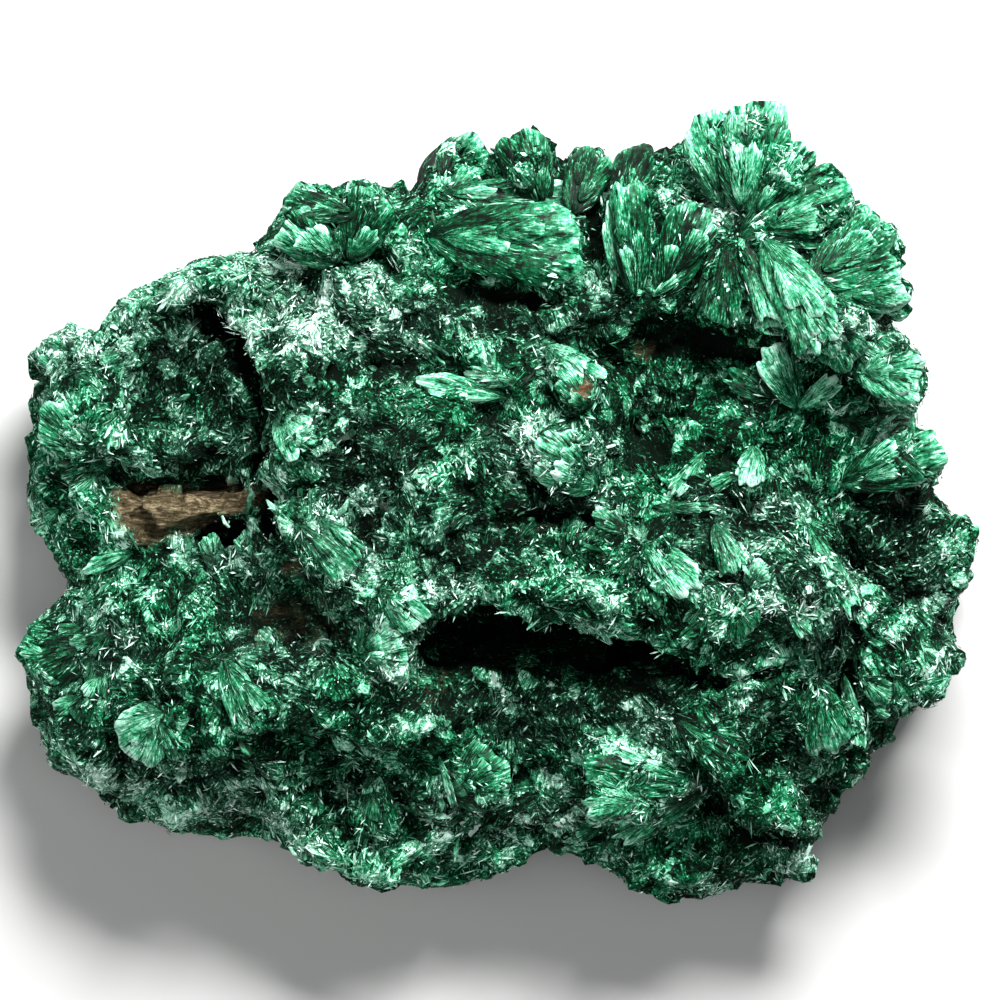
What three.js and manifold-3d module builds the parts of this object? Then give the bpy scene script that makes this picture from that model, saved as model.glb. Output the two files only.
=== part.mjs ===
// A hand specimen of fibrous malachite, in millimetres, +Z up.
// It lies on its broken back, with the fan-covered face up. The origin is the middle of the flat
// patch that it rests on, +X is the face's right and +Y the face's top.
// One stone is one mesh: a rugged body with its hollows cut in and its large crystal fans grown on.
import * as THREE from "three";
import { mergeVertices } from "three/addons/utils/BufferGeometryUtils.js";
import { ImprovedNoise } from "three/addons/math/ImprovedNoise.js";
import Module from "manifold-3d";

const wasm = await Module();
wasm.setup();

// Driving sizes
const bodyDetail = 10; // subdivisions of the icosahedron that becomes the body
const topShare = 0.62; // share of the body's facets on the face, and on face and wall together
const wallShare = 0.91;
const edgeLevel = 0.55; // height of the widest outline, as a share of the face's height beside it
const wallTaper = 0.3; // how far the wall draws in on its way down to the back
const backLow = -1.6; // the back before it is cut flat at zero
const lumpRelief = { size: 8.5, height: 6.0 }; // rounded lumps with creases between them
const coarseRelief = { size: 5.5, height: 1.7 };
const fineRelief = { size: 2.9, height: 0.7 };
const fanKeel = 2.6; // how much deeper a fan reaches into the stone than it stands out of it
const cutTop = 46; // above everything, where the cutting tools begin

// The outline of the face, clockwise from its left corner
const outline = [
  [-47.1, 15.9], [-42.2, 18.4], [-38.6, 20.6], [-36.6, 22.8], [-32.8, 24.4], [-30.2, 25.5],
  [-27.0, 25.2], [-23.2, 24.7], [-22.6, 26.6], [-22.0, 29.0], [-19.0, 30.5], [-16.0, 31.1],
  [-12.4, 31.3], [-10.5, 32.3], [-7.8, 32.4], [-6.2, 33.9], [-4.2, 34.7], [-1.2, 34.6],
  [0.8, 36.0], [2.3, 36.6], [4.0, 36.0], [5.5, 33.6], [7.8, 34.8], [10.2, 34.6], [12.0, 33.8],
  [14.1, 35.5], [15.4, 34.8], [18.4, 36.0], [20.3, 37.6], [21.8, 37.4], [23.6, 38.4],
  [26.2, 37.6], [28.7, 35.9], [29.4, 34.9], [31.0, 33.6], [32.4, 31.8], [34.4, 29.7],
  [36.8, 28.4], [38.4, 27.4], [38.6, 25.0], [39.4, 21.9], [40.8, 19.9], [40.5, 17.0],
  [41.9, 14.8], [42.1, 12.2], [41.1, 7.8], [42.7, 6.0], [43.4, 3.8], [44.2, 0.8], [45.5, -1.4],
  [46.6, -4.2], [46.5, -6.4], [47.3, -9.1], [45.9, -11.4], [45.0, -16.0], [43.9, -19.4],
  [42.6, -21.8], [38.6, -24.4], [35.6, -26.6], [34.6, -29.0], [34.9, -31.0], [33.4, -33.8],
  [32.2, -37.8], [30.6, -39.2], [28.0, -38.8], [24.8, -40.4], [21.0, -41.6], [17.0, -41.2],
  [14.2, -40.4], [12.0, -37.8], [8.6, -37.4], [4.2, -36.4], [0.2, -36.6], [-3.0, -37.6],
  [-6.6, -39.4], [-10.4, -39.6], [-14.4, -38.9], [-20.2, -37.0], [-24.6, -35.0], [-27.8, -33.0],
  [-31.4, -33.4], [-36.6, -32.0], [-41.8, -29.8], [-45.0, -27.2], [-47.6, -25.2], [-47.8, -23.0],
  [-46.2, -20.6], [-47.6, -18.4], [-47.8, -15.8], [-46.6, -12.0], [-44.8, -9.4], [-45.0, -6.6],
  [-47.0, -3.0], [-47.7, -0.4], [-47.8, 2.4], [-46.2, 5.6], [-46.0, 9.4], [-46.6, 13.0],
];

// Heights of places on the face: x, y, z. The face runs smoothly from each to the next.
const places = {
  leftCorner: [-45, 15, 17],
  leftLobeTop: [-37, 20, 22],
  leftLobeMiddle: [-30, 23, 25],
  leftLobeRight: [-23, 21, 28],
  hollowUpper: [-32, 14, 18.5],
  hollowMiddle: [-30, 7, 16.5],
  hollowStep: [-34, 2, 17],
  hollowLower: [-29, -4, 15],
  hollowLeft: [-41, 6, 22],
  hollowLeftLow: [-44, -2, 19],
  hollowRim: [-20, 9, 30.5],
  hollowRimLow: [-18, -3, 30],
  notch: [-20, 27, 23],
  notchFan: [-15, 25, 27],
  upperBand: [-10, 18, 30],
  upperMiddle: [3, 26, 30],
  upperEdge: [3, 34, 20],
  upperGap: [11, 31, 24],
  tallLobe: [13, 24, 32],
  crown: [24, 32, 29],
  crownFoot: [26, 24, 35],
  rightMass: [32, 17, 34],
  rightMassLow: [38, 9, 28],
  rightShoulder: [38, 22, 25],
  underBand: [0, 20, 27],
  darkRecess: [18, 12, 25],
  darkRecessLow: [16, 5, 26.5],
  fansFoot: [29, 8, 28],
  centreFold: [-7, 10, 30],
  centreDip: [-10, 13.5, 27.5],
  centre: [-6, 2, 32],
  centreRight: [6, 1, 31.5],
  centreHollow: [3, -2.5, 28],
  cleftRim: [0, -9, 32],
  cleftRimRight: [14, -10, 32],
  block: [22, -7, 32],
  blockLow: [28, -14, 29.5],
  lobeStep: [35, -4, 23],
  rightLobe: [43, -8, 17],
  rightLobeLow: [39, -19, 16],
  cleftSeat: [5, -20, 21],
  shelfLeft: [-4, -24, 25],
  shelfMiddle: [12, -25, 25],
  shelfRight: [26, -23, 24],
  shelfEdge: [5, -33, 17],
  shelfEdgeLeft: [-9, -35, 17],
  ridge: [-12, -15, 28.5],
  mound: [-28, -18, 28],
  moundLeft: [-42, -16, 20],
  moundLow: [-35, -27, 18],
  moundBottom: [-18, -31, 18],
  valley: [-36, -8.5, 18],
  valleyRight: [-25, -9, 23],
  knob: [23, -35, 14],
  knobRight: [31, -30, 17],
};
const placeReach = 4.6; // how far a place's height reaches

// The two deep hollows, each cut by a prism with the outline of its mouth at height `mouth`. It
// goes down to `floor`, and leans by `lean` for each millimetre of depth, under the rim that
// overhangs it.
const hollows = {
  cleft: {
    mouth: 29, floor: 13, lean: [0.04, 0.42],
    rim: [
      [-9.2, -16.2], [-6.4, -12.0], [-4.6, -10.8], [0.0, -10.8], [6.0, -11.8], [11.0, -13.2],
      [15.0, -14.6], [19.0, -16.2], [21.6, -18.4], [26.0, -18.2], [29.3, -16.2], [29.6, -17.6],
      [26.4, -19.4], [22.0, -20.2], [17.0, -19.6], [10.0, -19.4], [4.0, -19.2], [-1.0, -19.2],
      [-5.0, -19.8], [-7.8, -19.6],
    ],
  },
  hollowShadow: {
    mouth: 26, floor: 11, lean: [0.3, 0.1],
    rim: [
      [-32.6, 19.6], [-29.4, 19.6], [-28.6, 17.4], [-26.4, 16.4], [-24.4, 14.2], [-23.1, 11.8],
      [-23.3, 7.4], [-24.0, 5.0], [-24.0, 3.4], [-22.6, 0.0], [-21.6, -3.4], [-23.8, -4.6],
      [-25.4, -2.0], [-26.8, 3.0], [-25.3, 5.8], [-25.6, 9.0], [-27.4, 11.6], [-30.6, 14.6],
      [-33.8, 17.8],
    ],
  },
};

// Pits eaten into the body: centre, half sizes along x, y and z, and a turn in degrees
const pits = {
  ledgeSlit: { at: [-31.0, 1.4, 17.4], half: [7.4, 1.2, 4.4], turn: 3 },
  ledgePit: { at: [-26.4, -3.4, 15.0], half: [5.0, 2.2, 6.0], turn: 5 },
  centrePit: { at: [6.0, -1.8, 28.4], half: [4.2, 1.3, 4.0], turn: -5 },
  centreStreak: { at: [-12.4, 12.8, 30.2], half: [5.6, 1.6, 3.4], turn: 4 },
  underBand: { at: [0.6, 20.2, 28.8], half: [7.0, 1.4, 3.4], turn: -5 },
  darkRecess: { at: [19.0, 15.4, 28.8], half: [8.0, 1.8, 3.6], turn: -12 },
  lobeSlot: { at: [37.3, 1.2, 25.0], half: [4.2, 1.1, 6.0], turn: 8 },
  knobPit: { at: [21.0, -31.0, 17.6], half: [2.1, 1.7, 6.4], turn: 0 },
  knobSlit: { at: [28.6, -34.2, 17.0], half: [5.0, 1.1, 5.6], turn: -12 },
};

// Lumps that stand on the body: centre, half sizes along x, y and z, and a turn in degrees
const lumps = {
  ledge: { at: [-31.4, -0.9, 16.6], half: [7.4, 1.9, 3.4], turn: 3 },
  topKnob: { at: [2.6, 33.0, 22.0], half: [3.2, 3.3, 5.0], turn: 0 },
  centreLump: { at: [6.2, 4.4, 30.6], half: [4.0, 3.0, 3.4], turn: 20 },
  windowBlock: { at: [30.6, -9.4, 27.6], half: [4.6, 4.4, 4.8], turn: -12 },
  knobTop: { at: [27.4, -30.6, 16.6], half: [5.2, 3.4, 3.8], turn: -30 },
  rimHigh: { at: [-19.6, 12.0, 28.0], half: [3.6, 4.6, 4.4], turn: 10 },
  rimLow: { at: [-18.0, -3.4, 27.6], half: [3.8, 5.4, 4.4], turn: 20 },
  ridgeLump: { at: [-9.4, -10.2, 28.8], half: [4.6, 3.0, 3.6], turn: 35 },
  cleftBrow: { at: [8.0, -9.2, 30.0], half: [6.4, 2.4, 3.6], turn: -8 },
  cornerCrust: { at: [-43.6, 14.6, 12.4], half: [3.8, 2.6, 5.4], turn: 26 },
  leftCrust: { at: [-41.0, 8.4, 19.6], half: [4.4, 5.2, 4.4], turn: 20 },
  hollowLedge: { at: [-32.6, 5.2, 17.6], half: [6.4, 1.8, 3.4], turn: 6 },
};

// Crystal fans: where the fibres start (x, y), where the middle of the rim is (x, y), half the
// spread in degrees, half the thickness, and how far the start and the rim stand above the face
const fans = {
  upperOval: [-6.6, 27.0, 8.2, 23.6, 22, 1.9, -0.4, 2.4],
  crestLeft: [-8.0, 27.6, -2.4, 34.3, 24, 2.0, -2.0, -0.5],
  crest: [4.2, 28.6, 2.4, 36.2, 28, 2.2, -1.5, 1.0],
  crestRight: [7.0, 28.4, 9.4, 34.6, 24, 1.8, -1.5, 0.4],
  notchBright: [-15.2, 23.0, -20.8, 28.4, 26, 1.3, 0.0, 1.8],
  notchDark: [-15.0, 23.4, -12.0, 30.4, 26, 1.5, -0.4, 1.6],
  notchCrest: [-13.6, 28.0, -21.4, 29.8, 18, 1.4, -0.6, 1.6],
  tallLobe: [13.6, 18.6, 12.6, 30.9, 15, 2.6, -0.6, 3.2],
  besideTall: [15.6, 19.6, 19.2, 29.0, 22, 2.2, -0.8, 2.6],
  crownLeft: [22.0, 28.4, 20.2, 37.0, 22, 2.0, -0.6, 2.4],
  crown: [23.6, 28.0, 24.2, 38.3, 25, 2.6, 0.2, 3.2],
  crownRight: [24.4, 27.2, 29.0, 34.8, 20, 2.2, 0.0, 2.2],
  shoulderFan: [23.2, 25.8, 34.2, 30.2, 22, 2.4, 0.0, 2.4],
  shoulderLobe: [29.4, 20.6, 38.6, 26.8, 24, 2.2, -0.4, 2.2],
  rightFan: [25.0, 26.0, 33.2, 14.6, 19, 2.4, 0.4, 3.2],
  innerLobe: [22.6, 26.0, 27.0, 16.2, 13, 2.2, 0.6, 3.6],
  innerDark: [22.0, 25.6, 21.2, 16.6, 24, 1.9, 0.0, 2.4],
  rightFanLow: [31.0, 19.0, 38.4, 12.8, 24, 2.2, 0.2, 2.0],
  edgeLobeHigh: [32.6, 20.0, 40.6, 20.0, 24, 2.0, 0.0, 1.6],
  edgeLobe: [35.0, 12.4, 42.0, 11.8, 32, 2.0, -0.4, 1.8],
  edgeLobeLow: [34.4, 0.6, 43.0, 5.2, 22, 2.0, 0.2, 2.4],
  butterflyLeft: [29.3, 9.0, 27.2, 15.4, 20, 1.1, -0.4, 2.2],
  butterflyRight: [29.3, 9.0, 33.6, 12.8, 16, 1.1, -0.4, 0.4],
  butterflyDark: [29.0, 9.0, 22.2, 12.6, 14, 1.0, -0.2, 1.2],
  kite: [25.0, 5.2, 24.2, 0.0, 26, 1.3, -0.6, 0.4],
  spearFan: [21.2, -2.2, 23.2, -7.2, 22, 1.0, 0.4, 1.6],
  blockFan: [20.2, -10.2, 14.2, -4.6, 24, 1.4, 0.2, 1.8],
  windowFan: [30.0, -2.0, 34.2, -11.4, 11, 1.3, -0.2, 2.2],
  lobeFan: [32.0, 0.0, 46.6, -8.6, 26, 3.6, -1.0, 2.0],
  lobeFanLow: [33.0, -6.0, 43.2, -20.6, 24, 3.2, -1.0, 1.6],
  stepFan: [30.2, -17.4, 34.2, -25.4, 24, 1.8, -0.4, 1.6],
  lowLeftFan: [-31.0, -20.2, -36.6, -25.8, 34, 1.6, 0.0, 0.0],
  middleLeftFan: [-27.6, -15.4, -23.4, -22.6, 20, 1.3, 0.2, 1.8],
  ridgeFan: [-13.8, -15.6, -8.8, -14.6, 34, 1.5, 0.0, 2.0],
  bud: [-5.4, -26.0, 0.6, -29.2, 28, 1.5, 0.2, 1.6],
  longLowFan: [20.6, -28.4, 8.6, -26.4, 19, 1.8, 0.6, 2.6],
  button: [14.0, -30.0, 8.2, -30.4, 26, 1.4, 0.4, 2.0],
  centreFan: [1.6, 11.0, -3.6, 15.2, 22, 1.4, 0.2, 1.6],
  arch: [4.8, 15.4, 9.0, 10.0, 26, 1.5, 0.4, 2.2],
  rimBright: [-21.6, 9.2, -18.2, 5.6, 24, 1.0, 0.0, 1.0],
  rimLow: [-20.0, -2.0, -14.6, -8.4, 18, 1.5, 0.0, 1.8],
  shelfFan: [17.0, -21.4, 24.6, -26.6, 22, 1.3, 0.0, 1.4],
  moundGreen: [-12.0, -26.4, -12.6, -34.0, 26, 1.6, -0.2, 1.2],
};

const noise = new ImprovedNoise();

// A closed geometry as a solid that can be joined and cut
function solidOf(geometry) {
  const bare = geometry.clone();
  bare.deleteAttribute("normal");
  bare.deleteAttribute("uv");
  const merged = mergeVertices(bare, 1e-4);
  const mesh = new wasm.Mesh({
    numProp: 3,
    vertProperties: merged.attributes.position.array,
    triVerts: new Uint32Array(merged.index.array),
  });
  return new wasm.Manifold(mesh);
}

// Moves every vertex of a geometry to where `move` puts it
function reshape(geometry, move) {
  const at = geometry.attributes.position;
  const point = new THREE.Vector3();
  for (let i = 0; i < at.count; i++) {
    move(point.fromBufferAttribute(at, i));
    at.setXYZ(i, point.x, point.y, point.z);
  }
  return geometry;
}

// How far the outline is from the origin, in the direction of an angle
function reachOf(angle) {
  const dx = Math.cos(angle);
  const dy = Math.sin(angle);
  let farthest = 0;
  outline.forEach(([ax, ay], i) => {
    const [bx, by] = outline[(i + 1) % outline.length];
    const ex = bx - ax;
    const ey = by - ay;
    const across = dx * ey - dy * ex;
    const along = (ax * ey - ay * ex) / across;
    const share = (ax * dy - ay * dx) / across;
    if (share >= 0 && share <= 1) farthest = Math.max(farthest, along);
  });
  return farthest;
}

// The height of the face at a point, from the named places round it
function heightAt(x, y) {
  let sum = 0;
  let weights = 0;
  for (const [px, py, pz] of Object.values(places)) {
    const weight = Math.exp(-((x - px) ** 2 + (y - py) ** 2) / (2 * placeReach ** 2));
    sum += weight * pz;
    weights += weight;
  }
  return sum / weights;
}

// A number from 0 to 1 that belongs to a whole-numbered place
function scatter(i, j, k) {
  const wave = Math.sin(i * 127.1 + j * 311.7 + k * 74.7) * 43758.5453;
  return wave - Math.floor(wave);
}

// Lumps: a point is pushed out from the stone's middle the more, the nearer it is to the middle
// of one of the scattered cells
function addLumps(point, { size, height }) {
  const [i, j, k] = [point.x, point.y, point.z].map((v) => Math.floor(v / size));
  let nearest = Infinity;
  for (let a = i - 1; a <= i + 1; a++) {
    for (let b = j - 1; b <= j + 1; b++) {
      for (let c = k - 1; c <= k + 1; c++) {
        const dx = a + scatter(a, b, c) - point.x / size;
        const dy = b + scatter(b, c, a + 17) - point.y / size;
        const dz = c + scatter(c, a, b + 29) - point.z / size;
        nearest = Math.min(nearest, Math.hypot(dx, dy, dz));
      }
    }
  }
  const outward = new THREE.Vector3(point.x * 0.5, point.y * 0.5, point.z - 8).normalize();
  point.addScaledVector(outward, height * (0.45 - nearest));
}

// Ruggedness: a point is pushed by noise of one size, along all three axes
function roughen(point, { size, height }, seed) {
  const x = point.x / size + seed;
  const y = point.y / size;
  const z = point.z / size;
  point.x += height * 0.6 * noise.noise(x + 31.7, y, z);
  point.y += height * 0.6 * noise.noise(x, y + 47.3, z);
  point.z += height * 1.6 * noise.noise(x, y, z + 11.9);
}

function makeRugged(point) {
  addLumps(point, lumpRelief);
  roughen(point, coarseRelief, 3);
  roughen(point, fineRelief, 9);
}

// The height of the rugged face, close to a point
function ruggedHeightAt(x, y) {
  const point = new THREE.Vector3(x, y, heightAt(x, y));
  makeRugged(point);
  return point.z;
}

// The body: a finely divided icosahedron, its top spread over the face, its waist down the wall
// and its underside over the back
function makeBody() {
  const sphere = new THREE.IcosahedronGeometry(1, bodyDetail);
  const shaped = reshape(sphere, (p) => {
    const share = (1 - p.z) / 2;
    const angle = Math.atan2(p.y, p.x);
    const reach = reachOf(angle);
    const edge = edgeLevel * heightAt(0.97 * reach * Math.cos(angle), 0.97 * reach * Math.sin(angle));
    let radius;
    if (share <= topShare) {
      const out = Math.sqrt(share / topShare);
      radius = out * reach;
      const height = heightAt(radius * Math.cos(angle), radius * Math.sin(angle));
      p.z = edge + (height - edge) * Math.sqrt(Math.max(0, 1 - out ** 10));
    } else if (share <= wallShare) {
      const down = (share - topShare) / (wallShare - topShare);
      radius = reach * (1 - wallTaper * down ** 1.6);
      p.z = edge * (1 - down);
    } else {
      const inward = Math.sqrt((1 - share) / (1 - wallShare));
      radius = reach * (1 - wallTaper) * inward;
      p.z = backLow * (1 - inward ** 4);
    }
    p.x = radius * Math.cos(angle);
    p.y = radius * Math.sin(angle);
    makeRugged(p);
  });
  return solidOf(shaped);
}

// A prism from a hollow's rim, leaning as it goes down
function makeHollow({ mouth, floor, lean, rim }) {
  const shape = new THREE.Shape(rim.map(([x, y]) => new THREE.Vector2(x, y)));
  const prism = new THREE.ExtrudeGeometry(shape, { depth: cutTop - floor, bevelEnabled: false });
  prism.translate(0, 0, floor);
  return solidOf(
    reshape(prism, (p) => {
      p.x += lean[0] * (mouth - p.z);
      p.y += lean[1] * (mouth - p.z);
    }),
  );
}

// A lump or a pit: a ball that is dented and swollen by up to `uneven` of its size
function makeKnob({ at, half, turn }, uneven) {
  const ball = new THREE.IcosahedronGeometry(1, 1);
  reshape(ball, (p) => {
    const wobble = 1 + uneven * noise.noise(p.x * 2 + at[0], p.y * 2 + at[1], p.z * 2);
    p.set(p.x * half[0] * wobble, p.y * half[1] * wobble, p.z * half[2] * wobble);
  });
  ball.rotateZ(THREE.MathUtils.degToRad(turn));
  ball.translate(...at);
  return solidOf(ball);
}

// A fan of fibres: a flat teardrop that opens from its start to a round rim. Its sphere's rings
// run from the start to the rim, and its faces are ribbed.
function makeFan([startX, startY, rimX, rimY, spreadDeg, thick, startUp, rimUp]) {
  const start = new THREE.Vector3(startX, startY, ruggedHeightAt(startX, startY) + startUp);
  const inside = 0.96; // the rim's height is read just inside the outline
  const rim = new THREE.Vector3(rimX, rimY, ruggedHeightAt(rimX * inside, rimY * inside) + rimUp);
  const along = rim.clone().sub(start);
  const length = along.length();
  along.normalize();
  const across = new THREE.Vector3(0, 0, 1).cross(along).normalize();
  const up = along.clone().cross(across);
  const spread = THREE.MathUtils.degToRad(spreadDeg);
  const leaf = new THREE.SphereGeometry(1, 9, length > 11 ? 5 : 4);
  return solidOf(
    reshape(leaf, (p) => {
      const way = (1 - p.y) / 2;
      const ring = Math.sqrt(Math.max(0, 1 - p.y * p.y));
      const side = ring > 1e-6 ? p.x / ring : 0;
      const rise = ring > 1e-6 ? p.z / ring : 0;
      const turn = spread * side * Math.min(1, 1.3 * ring) ** 0.8;
      const reach = length * way ** 0.85;
      const plump = rise < 0 ? fanKeel : 1;
      const height = plump * thick * rise * ring ** 0.7 * (0.35 + 0.65 * way);
      p.copy(start)
        .addScaledVector(along, reach * Math.cos(turn))
        .addScaledVector(across, reach * Math.sin(turn))
        .addScaledVector(up, height);
    }),
  );
}

// The flat patch that it rests on: everything below zero is cut away
function makeUnderground() {
  const slab = new THREE.BoxGeometry(200, 200, 20);
  slab.translate(0, 0, -10);
  return solidOf(slab);
}

let stone = makeBody();
for (const lump of Object.values(lumps)) stone = stone.add(makeKnob(lump, 0.33));
for (const fan of Object.values(fans)) stone = stone.add(makeFan(fan));
for (const pit of Object.values(pits)) stone = stone.subtract(makeKnob(pit, 0.22));
for (const hollow of Object.values(hollows)) stone = stone.subtract(makeHollow(hollow));
stone = stone.subtract(makeUnderground());

const { vertProperties, triVerts } = stone.getMesh();
const geometry = new THREE.BufferGeometry();
geometry.setAttribute("position", new THREE.BufferAttribute(new Float32Array(vertProperties), 3));
geometry.setIndex(new THREE.BufferAttribute(new Uint32Array(triVerts), 1));
geometry.computeVertexNormals();

const malachite = new THREE.Mesh(
  geometry,
  new THREE.MeshStandardMaterial({ color: 0x14694a, roughness: 0.5, metalness: 0 }),
);
malachite.name = "malachite";

const specimen = new THREE.Group();
specimen.add(malachite);

export default specimen;
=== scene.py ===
import math

import bpy
import numpy as np
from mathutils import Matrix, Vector
from mathutils.bvhtree import BVHTree
from mathutils.kdtree import KDTree


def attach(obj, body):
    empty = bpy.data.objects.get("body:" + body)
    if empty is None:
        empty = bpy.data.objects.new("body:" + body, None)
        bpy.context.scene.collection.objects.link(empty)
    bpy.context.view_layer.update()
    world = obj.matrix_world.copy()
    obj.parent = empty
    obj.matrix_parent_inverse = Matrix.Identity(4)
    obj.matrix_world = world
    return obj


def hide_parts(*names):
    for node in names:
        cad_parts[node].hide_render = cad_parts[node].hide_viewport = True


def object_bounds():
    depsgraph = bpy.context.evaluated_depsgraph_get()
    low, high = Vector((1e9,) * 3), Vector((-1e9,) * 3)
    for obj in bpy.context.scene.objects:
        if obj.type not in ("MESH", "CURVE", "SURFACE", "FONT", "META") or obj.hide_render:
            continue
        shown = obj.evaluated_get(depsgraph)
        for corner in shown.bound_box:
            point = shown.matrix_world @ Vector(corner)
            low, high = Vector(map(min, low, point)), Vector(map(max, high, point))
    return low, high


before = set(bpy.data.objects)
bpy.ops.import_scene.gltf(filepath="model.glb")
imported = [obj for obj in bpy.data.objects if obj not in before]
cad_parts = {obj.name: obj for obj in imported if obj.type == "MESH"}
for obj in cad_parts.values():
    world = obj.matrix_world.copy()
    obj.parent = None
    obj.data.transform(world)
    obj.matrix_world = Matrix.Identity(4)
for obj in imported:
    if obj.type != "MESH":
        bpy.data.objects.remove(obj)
cadLow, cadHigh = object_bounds()
mm = 0.001
rng = np.random.default_rng(41)
up = np.array([0.0, 0.0, 1.0])


def unit(v):
    return v / np.maximum(np.linalg.norm(v, axis=-1, keepdims=True), 1e-9)


def hashed(cells, seed):  # a number from 0 to 1 for each whole-numbered cell
    n = cells.astype(np.int64)
    h = n[..., 0] * 73856093 ^ n[..., 1] * 19349663 ^ n[..., 2] * 83492791 ^ seed * 26544357
    h = (h ^ (h >> 13)) * 12741261
    return ((h ^ (h >> 16)) & 0xFFFFFF) / float(0xFFFFFF)


def softNoise(points, size, seed):  # smooth, from -1 to 1
    p = points / size
    base = np.floor(p)
    f = p - base
    f = f * f * (3 - 2 * f)
    total = np.zeros(len(points))
    for dx in (0, 1):
        for dy in (0, 1):
            for dz in (0, 1):
                w = f[:, 0] if dx else 1 - f[:, 0]
                w = w * (f[:, 1] if dy else 1 - f[:, 1])
                w = w * (f[:, 2] if dz else 1 - f[:, 2])
                total += w * hashed(base + np.array([dx, dy, dz]), seed)
    return total * 2 - 1


def readMesh(mesh):
    verts = np.empty(len(mesh.vertices) * 3)
    mesh.vertices.foreach_get("co", verts)
    mesh.calc_loop_triangles()
    tris = np.empty(len(mesh.loop_triangles) * 3, np.int32)
    mesh.loop_triangles.foreach_get("vertices", tris)
    return verts.reshape(-1, 3) / mm, tris.reshape(-1, 3).astype(np.int64)


def faceNormals(verts, tris):  # as long as twice the face's area
    a, b, c = (verts[tris[:, i]] for i in range(3))
    return np.cross(b - a, c - a)


def vertexNormals(verts, tris):
    normals = faceNormals(verts, tris)
    out = np.zeros_like(verts)
    for axis in range(3):
        for corner in range(3):
            out[:, axis] += np.bincount(tris[:, corner], normals[:, axis], len(verts))
    return unit(out)


def makeMesh(name, verts, tris, spray, tone, smooth):
    mesh = bpy.data.meshes.new(name)
    mesh.vertices.add(len(verts))
    mesh.vertices.foreach_set("co", (verts * mm).astype(np.float32).ravel())
    mesh.loops.add(len(tris) * 3)
    mesh.loops.foreach_set("vertex_index", tris.astype(np.int32).ravel())
    mesh.polygons.add(len(tris))
    mesh.polygons.foreach_set("loop_start", np.arange(0, len(tris) * 3, 3, dtype=np.int32))
    mesh.polygons.foreach_set("use_smooth", np.full(len(tris), smooth))
    mesh.update(calc_edges=True)
    for layer, values in (("spray", spray), ("tone", tone[:, :3])):
        attribute = mesh.attributes.new(layer, "FLOAT_VECTOR", "CORNER")
        attribute.data.foreach_set("vector", values.astype(np.float32).ravel())
    greyness = mesh.attributes.new("greyness", "FLOAT", "CORNER")
    greyness.data.foreach_set("value", tone[:, 3].astype(np.float32))
    piece = bpy.data.objects.new(name, mesh)
    bpy.context.scene.collection.objects.link(piece)
    return piece


# Fields that are bright with dense fibres or a dark velvet, and fields of painted shade under overhangs and
# in recesses or painted light on shaded places: x, y, half width, half height, change of light, change of
# cover
shadeAndToneZones = [
    (-36, 20, 8, 3.0, 0.10, 0.2), (-30, 11, 7, 6, -0.14, -0.2), (-29, 3.5, 6, 1.6, -0.22, -0.5),
    (-44, 12, 3, 4, 0.0, 0.0), (-43, 1, 4, 5, 0.06, 0.1), (-20, 20, 7, 4, 0.10, 0.1),
    (-12, 13.4, 7, 1.5, -0.16, -0.2), (-19, 12, 4, 2.5, -0.12, -0.2), (-12, 20, 6, 3, 0.06, 0.1),
    (1, 25, 9, 4, 0.14, 0.2), (-2, 18.6, 8, 2.4, -0.22, -0.3), (8, 18, 5, 3, -0.14, -0.2),
    (12, 26, 4, 5, 0.02, 0.1), (24, 33, 7, 5, 0.16, 0.3), (32, 20, 9, 9, 0.14, 0.2),
    (20, 22, 4, 4, -0.08, 0.0), (20, 15, 8, 3, -0.22, -0.3), (18, 8, 8, 6, -0.10, -0.2),
    (28, 6, 4, 5, 0.02, 0.0), (38, 10, 5, 5, 0.12, 0.2), (-14, 2, 5, 7, -0.06, -0.1),
    (-4, 2, 7, 5, -0.02, 0.0), (-6, -5, 6, 4, -0.10, -0.1), (4, -1.5, 9, 2.0, -0.18, -0.2),
    (24, -2, 4, 3, 0.02, 0.1), (26, -7.6, 4, 2.2, -0.08, -0.1), (26, -12, 5, 4, 0.04, 0.1),
    (41, -4, 6, 9, -0.08, 0.0), (41, -18, 4, 3, 0.06, 0.1), (33, -18, 4, 6, 0.04, 0.1),
    (-34, -12, 9, 4, -0.02, 0.0), (-26, -12, 8, 4, -0.10, -0.1), (-20, -20, 8, 7, -0.08, -0.1),
    (-30, -27, 9, 3, -0.02, 0.0), (-16, -28, 6, 5, -0.02, 0.0), (-42, -22.6, 3, 1.2, -0.2, -0.3),
    (-6, -21, 5, 4, -0.14, -0.2), (-4, -30, 7, 3, -0.08, -0.1), (12, -21.5, 9, 2.6, -0.10, -0.2),
    (14, -28, 7, 4, 0.06, 0.1), (5, -31, 4, 2.5, -0.06, -0.1), (27, -26, 6, 5, 0.0, 0.0),
    (22, -35, 7, 3, -0.06, 0.0), (30, -33, 3, 4, 0.04, 0.1), (12, -17, 12, 3, -0.2, -0.4),
    (-22, -25, 16, 8, 0.06, 0.0), (10, -27, 16, 7, 0.08, 0.0), (-16, 18, 11, 5, 0.08, 0.1),
    (5, 3, 9, 7, -0.12, 0.0), (-34, 8, 9, 12, 0.09, 0.0), (38, -8, 8, 10, -0.04, 0.0),
    (-12, -31, 22, 6, 0.04, 0.1),
    (-18, 8, 5, 5, -0.03, 0.0), (11, 35, 5, 3, -0.12, 0.2),
]
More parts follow.
